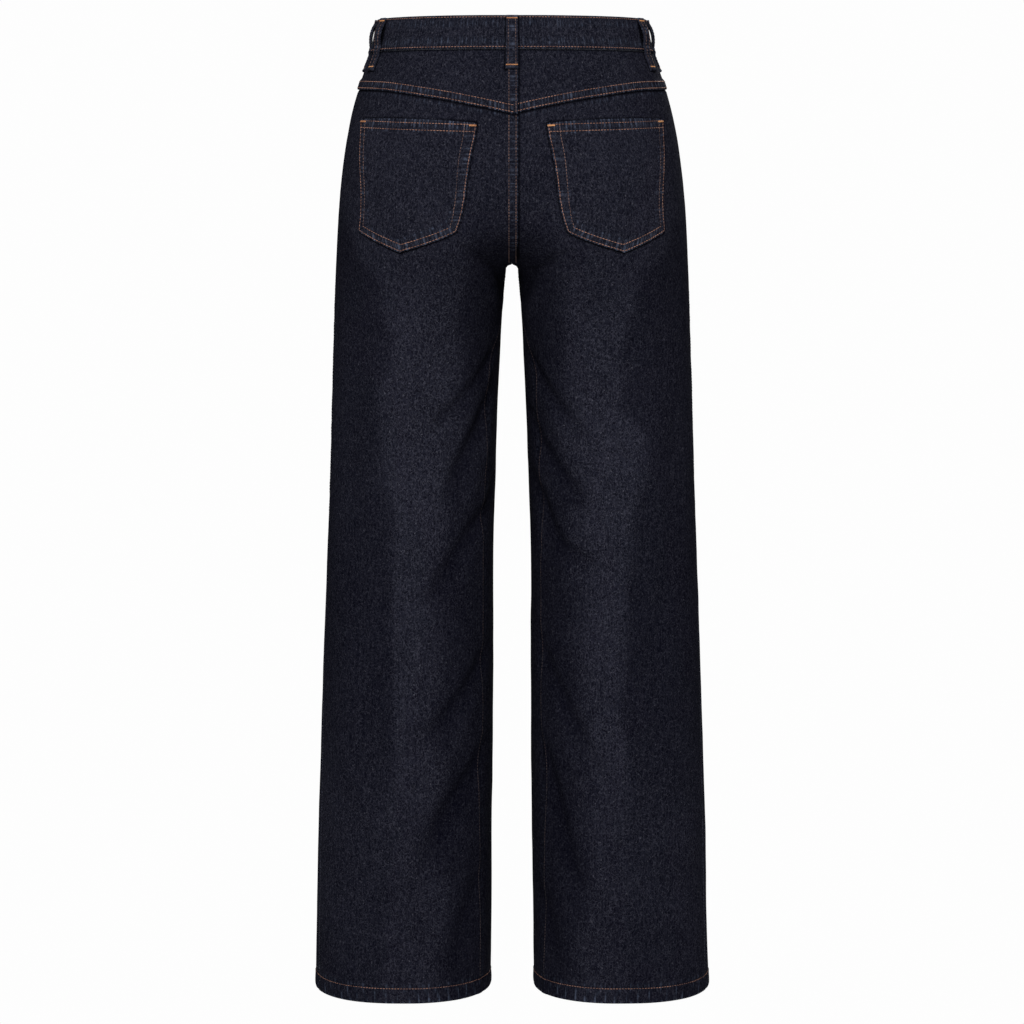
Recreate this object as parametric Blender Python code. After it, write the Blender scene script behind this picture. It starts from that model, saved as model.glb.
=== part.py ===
"""Wide leg jeans in dark denim, filled out with no wearer and held at the waist.

+Z is up, -Y is the front of the garment and +X the wearer's left.
The origin is the centre of the waist opening, halfway up the waistband.
Every piece is a wall of cloth that follows one form, the skin of the garment.
A place on the skin is a pair (u, z). z is the height, and u runs round one
half of the garment: 0 at the centre front or inseam, 1 at the side, 2 at the
centre back or inseam again.
"""
import math

import bmesh
import bpy
import numpy as np
from mathutils import Vector

MM = 0.001

# Heights of the main lines, in metres
WAIST_TOP = 0.0180
BAND_FOOT = -0.0168
CROTCH = -0.2405
HEM = -1.0310

# Cloth and seams
CLOTH = 0.0016
HEM_CLOTH = 0.0027
HEM_DEPTH = 0.0165
SEAM_GAP = 0.0003
LAYER_GAP = 0.0006
BAND_PROUD = 0.0008
BAND_CLOTH = 0.0030
POCKET_CLOTH = 0.0014
FACING_CLOTH = 0.0012
LOOP_CLOTH = 0.0018
LOOP_WIDTH = 0.0127
LOOP_LENGTH = 0.057
BUTTON_RADIUS = 0.0085

# The waist dips towards the front by this slope, and the dip dies out downwards
WAIST_SLOPE = 0.060
SLOPE_END = -0.150

# Horizontal sections of the left half, in millimetres. outer and inner are the
# ends of an oval across the leg. Where inner is negative the two ovals overlap
# and a web of that half width rounds the hollow between them.
SECTION_COLUMNS = ("z", "outer", "inner", "front", "back", "side_y",
                   "front_power", "back_power", "web")
SECTIONS = (
    (40.0, 138.0, -138.0, 93.0, 101.0, 0.0, 2.10, 2.10, 30.0),
    (17.5, 142.5, -142.5, 95.0, 104.0, 0.0, 2.10, 2.10, 30.0),
    (-15.0, 149.0, -149.0, 99.0, 110.0, 0.0, 2.10, 2.15, 30.0),
    (-43.0, 159.5, -157.0, 102.0, 116.0, 1.0, 2.10, 2.20, 32.0),
    (-88.0, 172.1, -136.0, 106.0, 125.0, 3.0, 2.20, 2.25, 40.0),
    (-139.0, 180.6, -100.0, 109.0, 134.0, 5.0, 2.30, 2.25, 42.0),
    (-190.0, 185.2, -54.0, 110.0, 137.0, 7.0, 2.35, 2.25, 38.0),
    (-216.0, 186.7, -22.0, 109.0, 134.5, 8.0, 2.35, 2.20, 28.0),
    (-232.0, 187.4, -5.0, 107.2, 131.0, 8.0, 2.35, 2.20, 16.0),
    (-240.5, 187.8, 0.0, 106.0, 128.8, 8.0, 2.35, 2.20, 0.0),
    (-250.0, 188.2, 4.0, 104.8, 126.4, 8.0, 2.32, 2.20, 0.0),
    (-265.0, 188.8, 7.0, 103.2, 123.3, 8.0, 2.30, 2.20, 0.0),
    (-280.0, 189.4, 8.5, 102.0, 120.8, 8.0, 2.28, 2.20, 0.0),
    (-366.0, 192.8, 13.5, 97.0, 111.0, 8.0, 2.20, 2.25, 0.0),
    (-453.0, 195.9, 17.1, 93.0, 103.0, 7.0, 2.20, 2.30, 0.0),
    (-541.0, 199.0, 19.5, 90.0, 98.0, 6.0, 2.20, 2.30, 0.0),
    (-673.0, 204.5, 20.6, 88.0, 95.0, 5.0, 2.20, 2.30, 0.0),
    (-851.0, 210.9, 21.7, 88.0, 95.0, 5.0, 2.20, 2.30, 0.0),
    (-1045.0, 216.2, 23.9, 89.0, 97.0, 5.0, 2.20, 2.30, 0.0),
)

# Half the gap between the legs just below the crotch, whose top is nearly flat
GAP_COLUMNS = ("z", "gap")
LEG_GAP = (
    (-240.5, 0.0),
    (-241.5, 3.2),
    (-244.0, 4.6),
    (-248.5, 5.7),
    (-254.5, 6.6),
    (-265.0, 7.4),
    (-280.0, 8.1),
    (-310.0, 9.0),
)
GAP_SOFTNESS = 0.2

# Where the leg seams run: height in millimetres and place round the half ring
SEAM_COLUMNS = ("z", "outseam", "inseam")
SEAMS = (
    (40.0, 1.00, 2.00),
    (-240.5, 1.00, 2.00),
    (-288.0, 1.01, 1.945),
    (-330.0, 1.02, 1.865),
    (-370.0, 1.03, 1.828),
    (-500.0, 1.05, 1.820),
    (-713.0, 1.08, 1.828),
    (-810.0, 1.10, 1.800),
    (-900.0, 1.11, 1.832),
    (-1045.0, 1.11, 1.850),
)

# The yoke seam on the back: place along the half ring and height in millimetres
YOKE_COLUMNS = ("u", "z")
YOKE_SEAM = (
    (1.00, -55.5),
    (1.34, -57.5),
    (1.62, -64.5),
    (1.90, -75.5),
    (2.00, -80.5),
)

# Soft folds of the legs, troughs negative. The start and the end are places
# (u, z), spread is the half width and depth the height, all but u in millimetres.
FOLD_COLUMNS = ("side", "u0", "z0", "u1", "z1", "spread", "depth")
FOLDS = (
    ("left", 1.86, -325.0, 1.56, -410.0, 15.0, -3.0),
    ("left", 1.88, -350.0, 1.60, -485.0, 15.0, -3.5),
    ("left", 1.92, -470.0, 1.54, -595.0, 17.0, -3.5),
    ("left", 1.86, -645.0, 1.50, -765.0, 17.0, -2.8),
    ("left", 1.88, -740.0, 1.48, -940.0, 19.0, -3.2),
    ("left", 1.84, -890.0, 1.66, -990.0, 15.0, -2.0),
    ("left", 1.30, -235.0, 1.50, -600.0, 26.0, 2.5),
    ("left", 1.22, -730.0, 1.52, -905.0, 20.0, 2.2),
    ("right", 1.88, -325.0, 1.58, -420.0, 15.0, -3.0),
    ("right", 1.88, -400.0, 1.58, -500.0, 15.0, -3.5),
    ("right", 1.90, -465.0, 1.54, -575.0, 19.0, -4.2),
    ("right", 1.86, -625.0, 1.52, -805.0, 18.0, -2.8),
    ("right", 1.84, -745.0, 1.60, -935.0, 18.0, -3.0),
    ("right", 1.32, -235.0, 1.40, -520.0, 26.0, 2.5),
    ("right", 1.80, -670.0, 1.58, -830.0, 14.0, 1.5),
    ("left", 0.12, -300.0, 0.55, -350.0, 17.0, -2.6),
    ("left", 0.10, -345.0, 0.48, -450.0, 18.0, -3.0),
    ("left", 0.14, -560.0, 0.52, -640.0, 19.0, -3.0),
    ("left", 0.16, -760.0, 0.55, -880.0, 21.0, -3.0),
    ("right", 0.12, -310.0, 0.50, -375.0, 17.0, -2.6),
    ("right", 0.12, -400.0, 0.50, -500.0, 18.0, -3.0),
    ("right", 0.14, -600.0, 0.50, -700.0, 20.0, -3.0),
    ("right", 0.16, -800.0, 0.52, -900.0, 21.0, -2.5),
)
HALF_GIRTH = 0.300

# Back patch pocket: its corners as places (u, z), z in millimetres
POCKET_CORNERS = {
    "top_inner": (1.850, -89.5),
    "top_outer": (1.266, -86.5),
    "low_outer": (1.296, -200.0),
    "point": (1.444, -220.0),
    "low_inner": (1.660, -198.5),
}
POCKET_ARCH = 0.0022
POCKET_BOW = 0.034

# Front pocket opening: its width and depth from the side seam and waistband
SCOOP_WIDTH = 0.085
SCOOP_DEPTH = 0.062
FACING_MARGIN = 0.016

FRONT_COLUMNS = 9
SCOOP_COLUMNS = 8

# Fly: how far the left front laps over the right, and its length
FLY_LAP = 0.006
FLY_RISE = 0.0021
FLY_EDGE = 0.020
FLY_SHARE = 0.034
FLY_FOOT = -0.1767
FLY_BLEND = 0.0280
SHIELD_WIDTH = 0.034
SHIELD_CLOTH = 0.0014

# Belt loops: place round the half ring, side and gap to the cloth behind
LOOP_COLUMNS = ("name", "side", "u", "gap")
LOOPS = (
    ("belt_loop_back", "left", 2.000, 0.0016),
    ("belt_loop_side_left", "left", 1.205, 0.0030),
    ("belt_loop_side_right", "right", 1.205, 0.0030),
    ("belt_loop_front_left", "left", 0.960, 0.0038),
    ("belt_loop_front_right", "right", 0.960, 0.0038),
)

# Colours, roughness and metal of the pieces
FINISHES = {
    "denim": ((0.018, 0.020, 0.033), 0.88, 0.0),
    "denim_trim": ((0.022, 0.024, 0.038), 0.86, 0.0),
    "button_metal": ((0.42, 0.24, 0.14), 0.38, 0.9),
}


def columns(rows, names):
    """Turn a table into arrays by name, ordered by its first column."""
    ordered = sorted(rows, key=lambda row: row[0])
    return {name: np.array([row[i] for row in ordered], float) for i, name in enumerate(names)}


def smooth_value(x, xs, ys):
    """Monotone cubic through the points (xs, ys), read at x."""
    steps = np.diff(xs)
    slopes = np.diff(ys) / steps
    tangents = np.zeros_like(ys)
    same = slopes[:-1] * slopes[1:] > 0
    weight_a = 2 * steps[1:] + steps[:-1]
    weight_b = steps[1:] + 2 * steps[:-1]
    safe_a = np.where(same, slopes[:-1], 1.0)
    safe_b = np.where(same, slopes[1:], 1.0)
    inner = (weight_a + weight_b) / (weight_a / safe_a + weight_b / safe_b)
    tangents[1:-1] = np.where(same, inner, 0.0)
    tangents[0], tangents[-1] = slopes[0], slopes[-1]
    x = np.clip(x, xs[0], xs[-1])
    i = np.clip(np.searchsorted(xs, x) - 1, 0, len(xs) - 2)
    t = (x - xs[i]) / steps[i]
    a = (1 + 2 * t) * (1 - t) ** 2 * ys[i] + t * (1 - t) ** 2 * steps[i] * tangents[i]
    b = t * t * (3 - 2 * t) * ys[i + 1] + t * t * (t - 1) * steps[i] * tangents[i + 1]
    return a + b


def soft_step(x):
    x = np.clip(x, 0.0, 1.0)
    return x * x * (3 - 2 * x)


SECTION = columns(SECTIONS, SECTION_COLUMNS)
GAP = columns(LEG_GAP, GAP_COLUMNS)
SEAM = columns(SEAMS, SEAM_COLUMNS)
YOKE = columns(YOKE_SEAM, YOKE_COLUMNS)


def section(z, name):
    """A section's value at height z, in metres, or as it is for a power."""
    value = smooth_value(z / MM, SECTION["z"], SECTION[name])
    return value if name.endswith("power") else value * MM


def half_curve(p, z, back):
    """A point of the half section at height z: p is 0 at the side and 1 at the inner end."""
    outer, inner = section(z, "outer"), section(z, "inner")
    side_y = section(z, "side_y")
    depth = np.where(back, section(z, "back") - side_y, section(z, "front") + side_y)
    power = np.where(back, section(z, "back_power"), section(z, "front_power"))
    middle, reach = (outer + inner) / 2, (outer - inner) / 2
    web = np.maximum(section(z, "web"), 1e-6)
    joined = z > CROTCH
    cut = np.clip((web - middle) / reach, -1.0, 1.0)
    cut_angle = np.arccos(np.sign(cut) * np.abs(cut) ** (power / 2))
    share = np.where(joined, 0.8, 1.0)
    angle = np.where(joined, cut_angle, math.pi) * np.minimum(p / share, 1.0)
    cosine, sine = np.cos(angle), np.maximum(np.sin(angle), 0.0)
    x = middle + reach * np.sign(cosine) * np.abs(cosine) ** (2 / power)
    y = depth * sine ** (2 / power)
    # the oval's inner end is pressed back to the gap between the legs
    gap = smooth_value(z / MM, GAP["z"], GAP["gap"]) * MM
    x = np.where(joined, x, (x + gap + np.hypot(x - gap, GAP_SOFTNESS * gap)) / 2)
    # the web between the legs: a quadratic curve from the oval to the centre plane
    level = np.clip(1 - np.abs(cut) ** power, 1e-9, 1.0)
    edge_y = depth * level ** (1 / power)
    slope = np.maximum(depth / reach * np.abs(cut) ** (power - 1) * level ** (1 / power - 1), 1e-6)
    slope = np.where(cut < 0, slope, 1e-6)
    drop = np.minimum(slope * web / 2, np.minimum(1.2 * web, 0.75 * edge_y))
    bend = web - drop / slope
    t = np.clip((p - share) / 0.2, 0.0, 1.0)
    web_x = (1 - t) ** 2 * web + 2 * t * (1 - t) * bend
    web_y = (1 - t) ** 2 * edge_y + (1 - (1 - t) ** 2) * (edge_y - drop)
    on_web = joined & (p > share)
    x = np.where(on_web, web_x, x)
    y = np.where(on_web, web_y, y)
    return x, side_y + np.where(back, y, -y)


ARC_STEPS = np.linspace(0.0, 1.0, 61)
SQUEEZE_HEIGHT = 0.130


def half_length(z, back):
    """Cumulative length along the half section, one row for each z."""
    p = np.broadcast_to(ARC_STEPS, (len(z), len(ARC_STEPS)))
    tall = np.broadcast_to(z[:, None], p.shape)
    x, y = half_curve(p, tall, np.broadcast_to(np.asarray(back)[:, None], p.shape))
    steps = np.hypot(np.diff(x, axis=1), np.diff(y, axis=1))
    return np.concatenate([np.zeros((len(z), 1)), np.cumsum(steps, axis=1)], axis=1)


# Length of a leg's front and back half at the crotch
LEG_LENGTH = [half_length(np.array([CROTCH - 1e-6]), np.array([back]))[0, -1]
              for back in (False, True)]


def travel(along, z, length, back):
    """How far along the half section a place lies.

    Just above the crotch the section is cut short by the web. Only the half of
    it next to the web is squeezed, so the places nearer the side don't shift.
    """
    full = np.where(back, LEG_LENGTH[1], LEG_LENGTH[0])
    near = 1 - soft_step((z - CROTCH) / SQUEEZE_HEIGHT)
    nominal = np.where(z > CROTCH, length + near * np.maximum(full - length, 0.0), length)
    t = np.clip(2 * along - 1, 0.0, 1.0)
    squeezed = nominal / 2 * (1 + t) + (length - nominal) * t * t
    return np.where(along < 0.5, nominal * along, squeezed)


def skin(u, z):
    """The plain form of the left half at places (u, z), as an array of points."""
    u, z = np.atleast_1d(u).astype(float), np.atleast_1d(z).astype(float)
    u, z = (a.copy() for a in np.broadcast_arrays(u, z))
    joined = z > CROTCH
    over, under = u > 2, u < 0
    flip = joined & (over | under)
    u = np.where(over, np.where(joined, 4 - u, u - 2), u)
    u = np.where(under, np.where(joined, -u, u + 2), u)
    back = u >= 1
    along = np.abs(u - 1)
    lengths = half_length(z, back)
    target = travel(along, z, lengths[:, -1], back)
    i = np.clip((lengths < target[:, None]).sum(axis=1) - 1, 0, len(ARC_STEPS) - 2)
    rows = np.arange(len(z))
    low, high = lengths[rows, i], lengths[rows, i + 1]
    p = ARC_STEPS[i] + (target - low) / np.maximum(high - low, 1e-12) * ARC_STEPS[1]
    x, y = half_curve(p, z, back)
    x = np.where(flip, -x, x)
    tilt = WAIST_SLOPE * soft_step((z - SLOPE_END) / (0.0 - SLOPE_END))
    return np.stack([x, y, z + tilt * y], axis=1)


def skin_normal(u, z):
    """Unit normals of the plain form, pointing out of the cloth."""
    du, dz = 0.004, 0.0008
    along = skin(u + du, z) - skin(u - du, z)
    up = skin(u, z + dz) - skin(u, z - dz)
    normal = np.cross(along, up)
    size = np.linalg.norm(normal, axis=1, keepdims=True)
    return np.where(size > 1e-12, normal / np.maximum(size, 1e-12), np.array([0.0, 0.0, -1.0]))


def fold_height(u, z, side):
    """Height of the soft folds at places (u, z)."""
    height = np.zeros_like(z)
    for row in FOLDS:
        fold = dict(zip(FOLD_COLUMNS, row))
        if fold["side"] != side:
            continue
        start = np.array([fold["u0"] * HALF_GIRTH, fold["z0"] * MM])
        end = np.array([fold["u1"] * HALF_GIRTH, fold["z1"] * MM])
        run = end - start
        length = np.hypot(*run)
        offset = np.stack([u * HALF_GIRTH, z], axis=1) - start
        along = offset @ run / length ** 2
        across = (offset[:, 0] * run[1] - offset[:, 1] * run[0]) / length
        taper = np.clip(1 - np.abs(2 * along - 1) ** 2.5, 0.0, 1.0)
        height += fold["depth"] * MM * taper * np.exp(-(across / (fold["spread"] * MM)) ** 2)
    return height


def cloth(u, z, side, lift=0.0):
    """Points of the cloth's outside at places (u, z), moved out by lift."""
    u, z = (a.astype(float) for a in np.broadcast_arrays(np.atleast_1d(u), np.atleast_1d(z)))
    shape = u.shape
    u, z = u.ravel(), z.ravel()
    lift = np.broadcast_to(lift, shape).ravel()
    wrapped = np.where(z > CROTCH, u, np.mod(u, 2.0))
    height = fold_height(wrapped, z, side) + lift
    points = skin(u, z) + skin_normal(u, z) * height[:, None]
    if side == "right":
        points[:, 0] = -points[:, 0]
    return points.reshape(shape + (3,))


def half_width(z, back):
    """Length of the half section at height z, the length that u = 1 stands for."""
    z = np.atleast_1d(np.asarray(z, float))
    return half_length(z, np.full(z.shape, back))[:, -1]


def seam_u(z, name):
    """Where a leg seam crosses height z."""
    return smooth_value(z / MM, SEAM["z"], SEAM[name])


def yoke_z(u):
    return smooth_value(u, YOKE["u"], YOKE["z"]) * MM


def make_material(name):
    colour, roughness, metallic = FINISHES[name]
    material = bpy.data.materials.new(name)
    material.use_nodes = True
    shader = material.node_tree.nodes["Principled BSDF"]
    shader.inputs["Base Color"].default_value = (*colour, 1.0)
    shader.inputs["Roughness"].default_value = roughness
    shader.inputs["Metallic"].default_value = metallic
    return material


def loft_wall(name, outside, inside, finish):
    """A closed wall between two grids of points, rows by columns."""
    rows, cols = outside.shape[:2]
    bm = bmesh.new()
    skins = []
    for grid in (outside, inside):
        skins.append([[bm.verts.new(point) for point in row] for row in grid])
    front, behind = skins
    for i in range(rows - 1):
        for j in range(cols - 1):
            bm.faces.new((front[i][j], front[i + 1][j], front[i + 1][j + 1], front[i][j + 1]))
            bm.faces.new((behind[i][j], behind[i][j + 1], behind[i + 1][j + 1], behind[i + 1][j]))
    for i in range(rows - 1):
        bm.faces.new((front[i][0], behind[i][0], behind[i + 1][0], front[i + 1][0]))
        bm.faces.new((front[i][-1], front[i + 1][-1], behind[i + 1][-1], behind[i][-1]))
    for j in range(cols - 1):
        bm.faces.new((front[0][j], front[0][j + 1], behind[0][j + 1], behind[0][j]))
        bm.faces.new((front[-1][j], behind[-1][j], behind[-1][j + 1], front[-1][j + 1]))
    bmesh.ops.recalc_face_normals(bm, faces=bm.faces)
    mesh = bpy.data.meshes.new(name)
    bm.to_mesh(mesh)
    bm.free()
    mesh.polygons.foreach_set("use_smooth", [True] * len(mesh.polygons))
    mesh.set_sharp_from_angle(angle=math.radians(40))
    return place(name, mesh, finish)


def place(name, mesh, finish):
    piece = bpy.data.objects.new(name, mesh)
    piece.data.materials.append(bpy.data.materials.get(finish) or make_material(finish))
    bpy.data.collections["wide_leg_jeans"].objects.link(piece)
    return piece


def cloth_wall(name, u, z, side, finish="denim", lift=0.0, thickness=CLOTH):
    """A wall of cloth over a grid of places, its outside moved out by lift."""
    outside = cloth(u, z, side, lift)
    inside = cloth(u, z, side, lift - thickness)
    return loft_wall(name, outside, inside, finish)


LEG_ROWS = np.concatenate([
    np.linspace(-0.120, -0.205, 4),
    [-0.2200, -0.2290, -0.2350, -0.2385, -0.2405, -0.2425, -0.2470, -0.2570, -0.2760],
    np.linspace(-0.300, HEM + HEM_DEPTH, 20),
    [HEM],
])
TOP_BLEND = -0.120


def panel_rows(top, tops):
    """Heights of a panel's grid: rows from its top edge, then the leg's rows."""
    upper = [top * (1 - share) + TOP_BLEND * share for share in np.linspace(0, 1, tops)[:-1]]
    return np.vstack(upper + [np.full_like(top, row) for row in LEG_ROWS])


def hem_thickness(z):
    """The cloth's thickness by height: the hem is turned up inside."""
    return np.where(z < HEM + HEM_DEPTH + 1e-6, HEM_CLOTH, CLOTH)


def spread(start, end, count):
    """Places from start to end for each row, half a seam gap inside both."""
    inset = SEAM_GAP / 2 / HALF_GIRTH
    share = np.linspace(0, 1, count)
    return (start + inset)[:, None] * (1 - share) + (end - inset)[:, None] * share


def back_panel(side):
    heights = np.concatenate([np.linspace(-0.06, TOP_BLEND, 4)[:-1], LEG_ROWS])
    u = spread(seam_u(heights, "outseam"), seam_u(heights, "inseam"), 17)
    z = panel_rows(yoke_z(u[0]) - SEAM_GAP / 2, 4)
    cloth_wall(f"back_{side}", u, z, side, thickness=hem_thickness(z))


def yoke(side):
    inset = SEAM_GAP / 2 / HALF_GIRTH
    u = np.linspace(1 + inset, 2 - inset, 14)
    top, foot = BAND_FOOT - SEAM_GAP / 2, yoke_z(u) + SEAM_GAP / 2
    z = np.array([top * (1 - share) + foot * share for share in np.linspace(0, 1, 4)])
    cloth_wall(f"yoke_{side}", np.tile(u, (4, 1)), z, side)


def scoop_z(u):
    """Top edge of the front: the waistband's foot, then the pocket's scoop."""
    to_side = (1 - u) * half_width(BAND_FOOT, False)
    inside = np.clip(1 - (to_side / SCOOP_WIDTH) ** 2, 0.0, 1.0)
    return BAND_FOOT - SEAM_GAP / 2 - SCOOP_DEPTH * np.sqrt(inside)


def front_shares():
    """Column spacing of a front: past the fly's edge, evenly, then by angle along the scoop."""
    start = 1 - SCOOP_WIDTH / half_width(BAND_FOOT, False)[0]
    plain = np.concatenate([[0.0], np.linspace(FLY_SHARE, start, FRONT_COLUMNS - 1)])
    scoop = 1 - (1 - start) * np.cos(np.linspace(0, math.pi / 2, SCOOP_COLUMNS))
    return np.concatenate([plain, scoop[1:]])


def front_panel(side):
    heights = np.concatenate([np.linspace(BAND_FOOT, TOP_BLEND, 6)[:-1], LEG_ROWS])
    inset = SEAM_GAP / 2 / HALF_GIRTH
    start = seam_u(heights, "inseam") - 2 + inset
    end = seam_u(heights, "outseam") - inset
    share = front_shares()
    if side == "left":
        # the left front rises over the right at the foot of the fly, then laps over it
        lap = FLY_LAP * soft_step((heights - FLY_FOOT - FLY_BLEND) / FLY_BLEND)
        start = start - lap / half_width(heights, False)
    u = start[:, None] * (1 - share) + end[:, None] * share
    z = panel_rows(scoop_z(u[0]), 6)
    lift = np.zeros_like(u)
    if side == "left":
        near = 1 - soft_step((u * HALF_GIRTH - FLY_LAP / 2) / FLY_EDGE)
        lift = near * (FLY_RISE * soft_step((heights - FLY_FOOT) / FLY_BLEND))[:, None]
    cloth_wall(f"front_{side}", u, z, side, lift=lift, thickness=hem_thickness(z))


def front_facing(side):
    """The pocket's facing, seen behind the scooped opening."""
    width = half_width(BAND_FOOT, False)[0]
    inset = SEAM_GAP / 2 / HALF_GIRTH
    u = front_shares()[FRONT_COLUMNS - 2:] * (1 - inset)
    to_side = (1 - u) * width
    round_off = np.sqrt(np.clip(1 - (to_side / (SCOOP_WIDTH + 2 * FACING_MARGIN)) ** 2, 0.0, 1.0))
    top = np.full_like(u, BAND_FOOT - SEAM_GAP / 2)
    foot = top - (SCOOP_DEPTH + FACING_MARGIN) * round_off
    z = np.array([top * (1 - share) + foot * share for share in np.linspace(0, 1, 7)])
    cloth_wall(f"front_facing_{side}", np.tile(u, (7, 1)), z, side,
               lift=-CLOTH - LAYER_GAP, thickness=FACING_CLOTH)


def fly_shield():
    """The shield behind the centre front, sewn under the right front."""
    z = np.linspace(BAND_FOOT - SEAM_GAP / 2, FLY_FOOT + 0.010, 7)
    x = np.linspace(-SHIELD_WIDTH / 2, SHIELD_WIDTH / 2, 4)
    u = x / half_width(BAND_FOOT, False)[0]
    cloth_wall("fly_shield", np.tile(u, (7, 1)), np.tile(z[:, None], (1, 4)), "left",
               lift=-CLOTH - LAYER_GAP, thickness=SHIELD_CLOTH)


def around(place):
    """Split a place along the waistband, 0 to 4, into (u, side)."""
    return (place, "left") if place <= 2 else (4 - place, "right")


def waistband():
    """One strip from its left end at the centre front round to the right end below it."""
    width = half_width(0.0, False)[0]
    first, last = -FLY_LAP / width, 4 + 0.030 / width
    places = np.linspace(first, last, 58)
    under = soft_step((places - (4 - 0.020 / width)) / (0.010 / width))
    heights = (WAIST_TOP, (WAIST_TOP + BAND_FOOT) / 2, BAND_FOOT + SEAM_GAP / 2)
    outside, inside = [], []
    for z in heights:
        for rows, depth in ((outside, 0.0), (inside, BAND_CLOTH)):
            row = []
            for place, sunk in zip(places, under):
                u, side = around(place)
                lift = BAND_PROUD - depth - sunk * (BAND_CLOTH + SEAM_GAP)
                row.append(cloth(u, z, side, lift)[0])
            rows.append(row)
    loft_wall("waistband", np.array(outside), np.array(inside), "denim")


def back_pocket(side):
    corner = {name: np.array([u, z * MM]) for name, (u, z) in POCKET_CORNERS.items()}
    share = np.linspace(0, 1, 11)
    knee = 5
    top = np.array([corner["top_inner"] * (1 - s) + corner["top_outer"] * s for s in share])
    top[:, 1] += POCKET_ARCH * (1 - (2 * share - 1) ** 2)
    left = [corner["low_inner"] * (1 - s) + corner["point"] * s for s in np.linspace(0, 1, knee + 1)]
    right = [corner["point"] * (1 - s) + corner["low_outer"] * s
             for s in np.linspace(0, 1, len(share) - knee)]
    foot = np.array(left + right[1:])
    grid = np.array([top * (1 - s) + foot * s for s in np.linspace(0, 1, 12)])
    grid[..., 0] += POCKET_BOW * (1 - (2 * np.linspace(0, 1, 12)[:, None] - 1) ** 2)
    cloth_wall(f"back_pocket_{side}", grid[..., 0], grid[..., 1], side, "denim_trim",
               lift=POCKET_CLOTH + LAYER_GAP, thickness=POCKET_CLOTH)


def belt_loop(name, side, u, gap):
    """A strip from the band's top to below its foot, standing off in the middle."""
    half = LOOP_WIDTH / 2 / half_width(0.0, u > 1)[0]
    down = np.array([0.000, 0.004, 0.010, 0.018, 0.027, 0.036, 0.044, 0.050, 0.054, 1.0])
    down[-1] = LOOP_LENGTH
    z = WAIST_TOP - 0.0005 - down
    band = BAND_PROUD * soft_step((z - BAND_FOOT + 0.003) / 0.0025)
    bow = (gap + 0.0002) * np.sin(math.pi * np.clip((down - 0.002) / 0.050, 0, 1)) ** 0.8
    base = band + SEAM_GAP + bow
    places = np.array([u - half, u, u + half])
    grid_u = np.tile(places, (len(z), 1))
    grid_z = np.tile(z[:, None], (1, 3))
    lift = np.tile(base[:, None], (1, 3))
    outside = cloth(grid_u, grid_z, side, lift + LOOP_CLOTH)
    inside = cloth(grid_u, grid_z, side, lift)
    loft_wall(name, outside, inside, "denim_trim")


def waist_button():
    """A domed button on the left end of the waistband, turned about its own axis."""
    width = half_width(0.0, False)[0]
    u = np.array([0.010 / width])
    middle = (WAIST_TOP + BAND_FOOT) / 2
    centre = cloth(u, middle, "left", BAND_PROUD + SEAM_GAP)[0]
    out = skin_normal(u, np.array([middle]))[0]
    profile = ((0.0, 0.0), (0.0066, 0.0), (0.0066, 0.0010), (0.0083, 0.0013), (0.0085, 0.0020),
               (0.0078, 0.0028), (0.0055, 0.0031), (0.0048, 0.0027), (0.0, 0.0029))
    bm = bmesh.new()
    points = [bm.verts.new((radius * BUTTON_RADIUS / 0.0085, 0.0, height))
              for radius, height in profile]
    edges = [bm.edges.new(pair) for pair in zip(points, points[1:])]
    bmesh.ops.spin(bm, geom=points + edges, cent=(0, 0, 0), axis=(0, 0, 1),
                   angle=2 * math.pi, steps=20, use_merge=True)
    bmesh.ops.remove_doubles(bm, verts=bm.verts, dist=1e-6)
    bmesh.ops.recalc_face_normals(bm, faces=bm.faces)
    mesh = bpy.data.meshes.new("waist_button")
    bm.to_mesh(mesh)
    bm.free()
    mesh.polygons.foreach_set("use_smooth", [True] * len(mesh.polygons))
    mesh.set_sharp_from_angle(angle=math.radians(40))
    button = place("waist_button", mesh, "button_metal")
    button.location = centre
    button.rotation_mode = "QUATERNION"
    button.rotation_quaternion = Vector(out).to_track_quat("Z", "Y")


def main():
    for old in list(bpy.data.objects):
        bpy.data.objects.remove(old)
    group = bpy.data.collections.new("wide_leg_jeans")
    bpy.context.scene.collection.children.link(group)
    for side in ("left", "right"):
        front_panel(side)
        back_panel(side)
        yoke(side)
        back_pocket(side)
        front_facing(side)
    fly_shield()
    waistband()
    for row in LOOPS:
        belt_loop(*row)
    waist_button()


main()
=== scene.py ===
"""Looks of the wide leg jeans: denim panels with their folds, seams, stitches, metal and light.

Every piece of cloth is a wall on the same form as its CAD solid. A place on the
form is (u, z): z is the height, and u runs round one half of the garment, 0 at
the centre front or inseam, 1 at the side, 2 at the centre back or inseam again.
"""
import math

import bmesh
import bpy
import numpy as np
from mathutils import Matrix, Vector


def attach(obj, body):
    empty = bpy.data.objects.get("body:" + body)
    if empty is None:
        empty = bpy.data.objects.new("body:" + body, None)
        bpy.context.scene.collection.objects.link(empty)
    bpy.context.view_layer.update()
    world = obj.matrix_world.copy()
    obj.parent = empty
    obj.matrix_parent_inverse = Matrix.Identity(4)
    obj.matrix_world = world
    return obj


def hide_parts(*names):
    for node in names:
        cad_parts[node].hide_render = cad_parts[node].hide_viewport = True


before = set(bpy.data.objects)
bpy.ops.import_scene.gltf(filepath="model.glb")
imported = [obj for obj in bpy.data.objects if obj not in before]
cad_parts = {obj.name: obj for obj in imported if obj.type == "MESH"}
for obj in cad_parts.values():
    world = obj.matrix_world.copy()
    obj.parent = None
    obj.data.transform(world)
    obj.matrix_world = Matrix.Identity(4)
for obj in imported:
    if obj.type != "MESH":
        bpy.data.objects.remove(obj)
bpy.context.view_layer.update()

MM = 0.001

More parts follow.
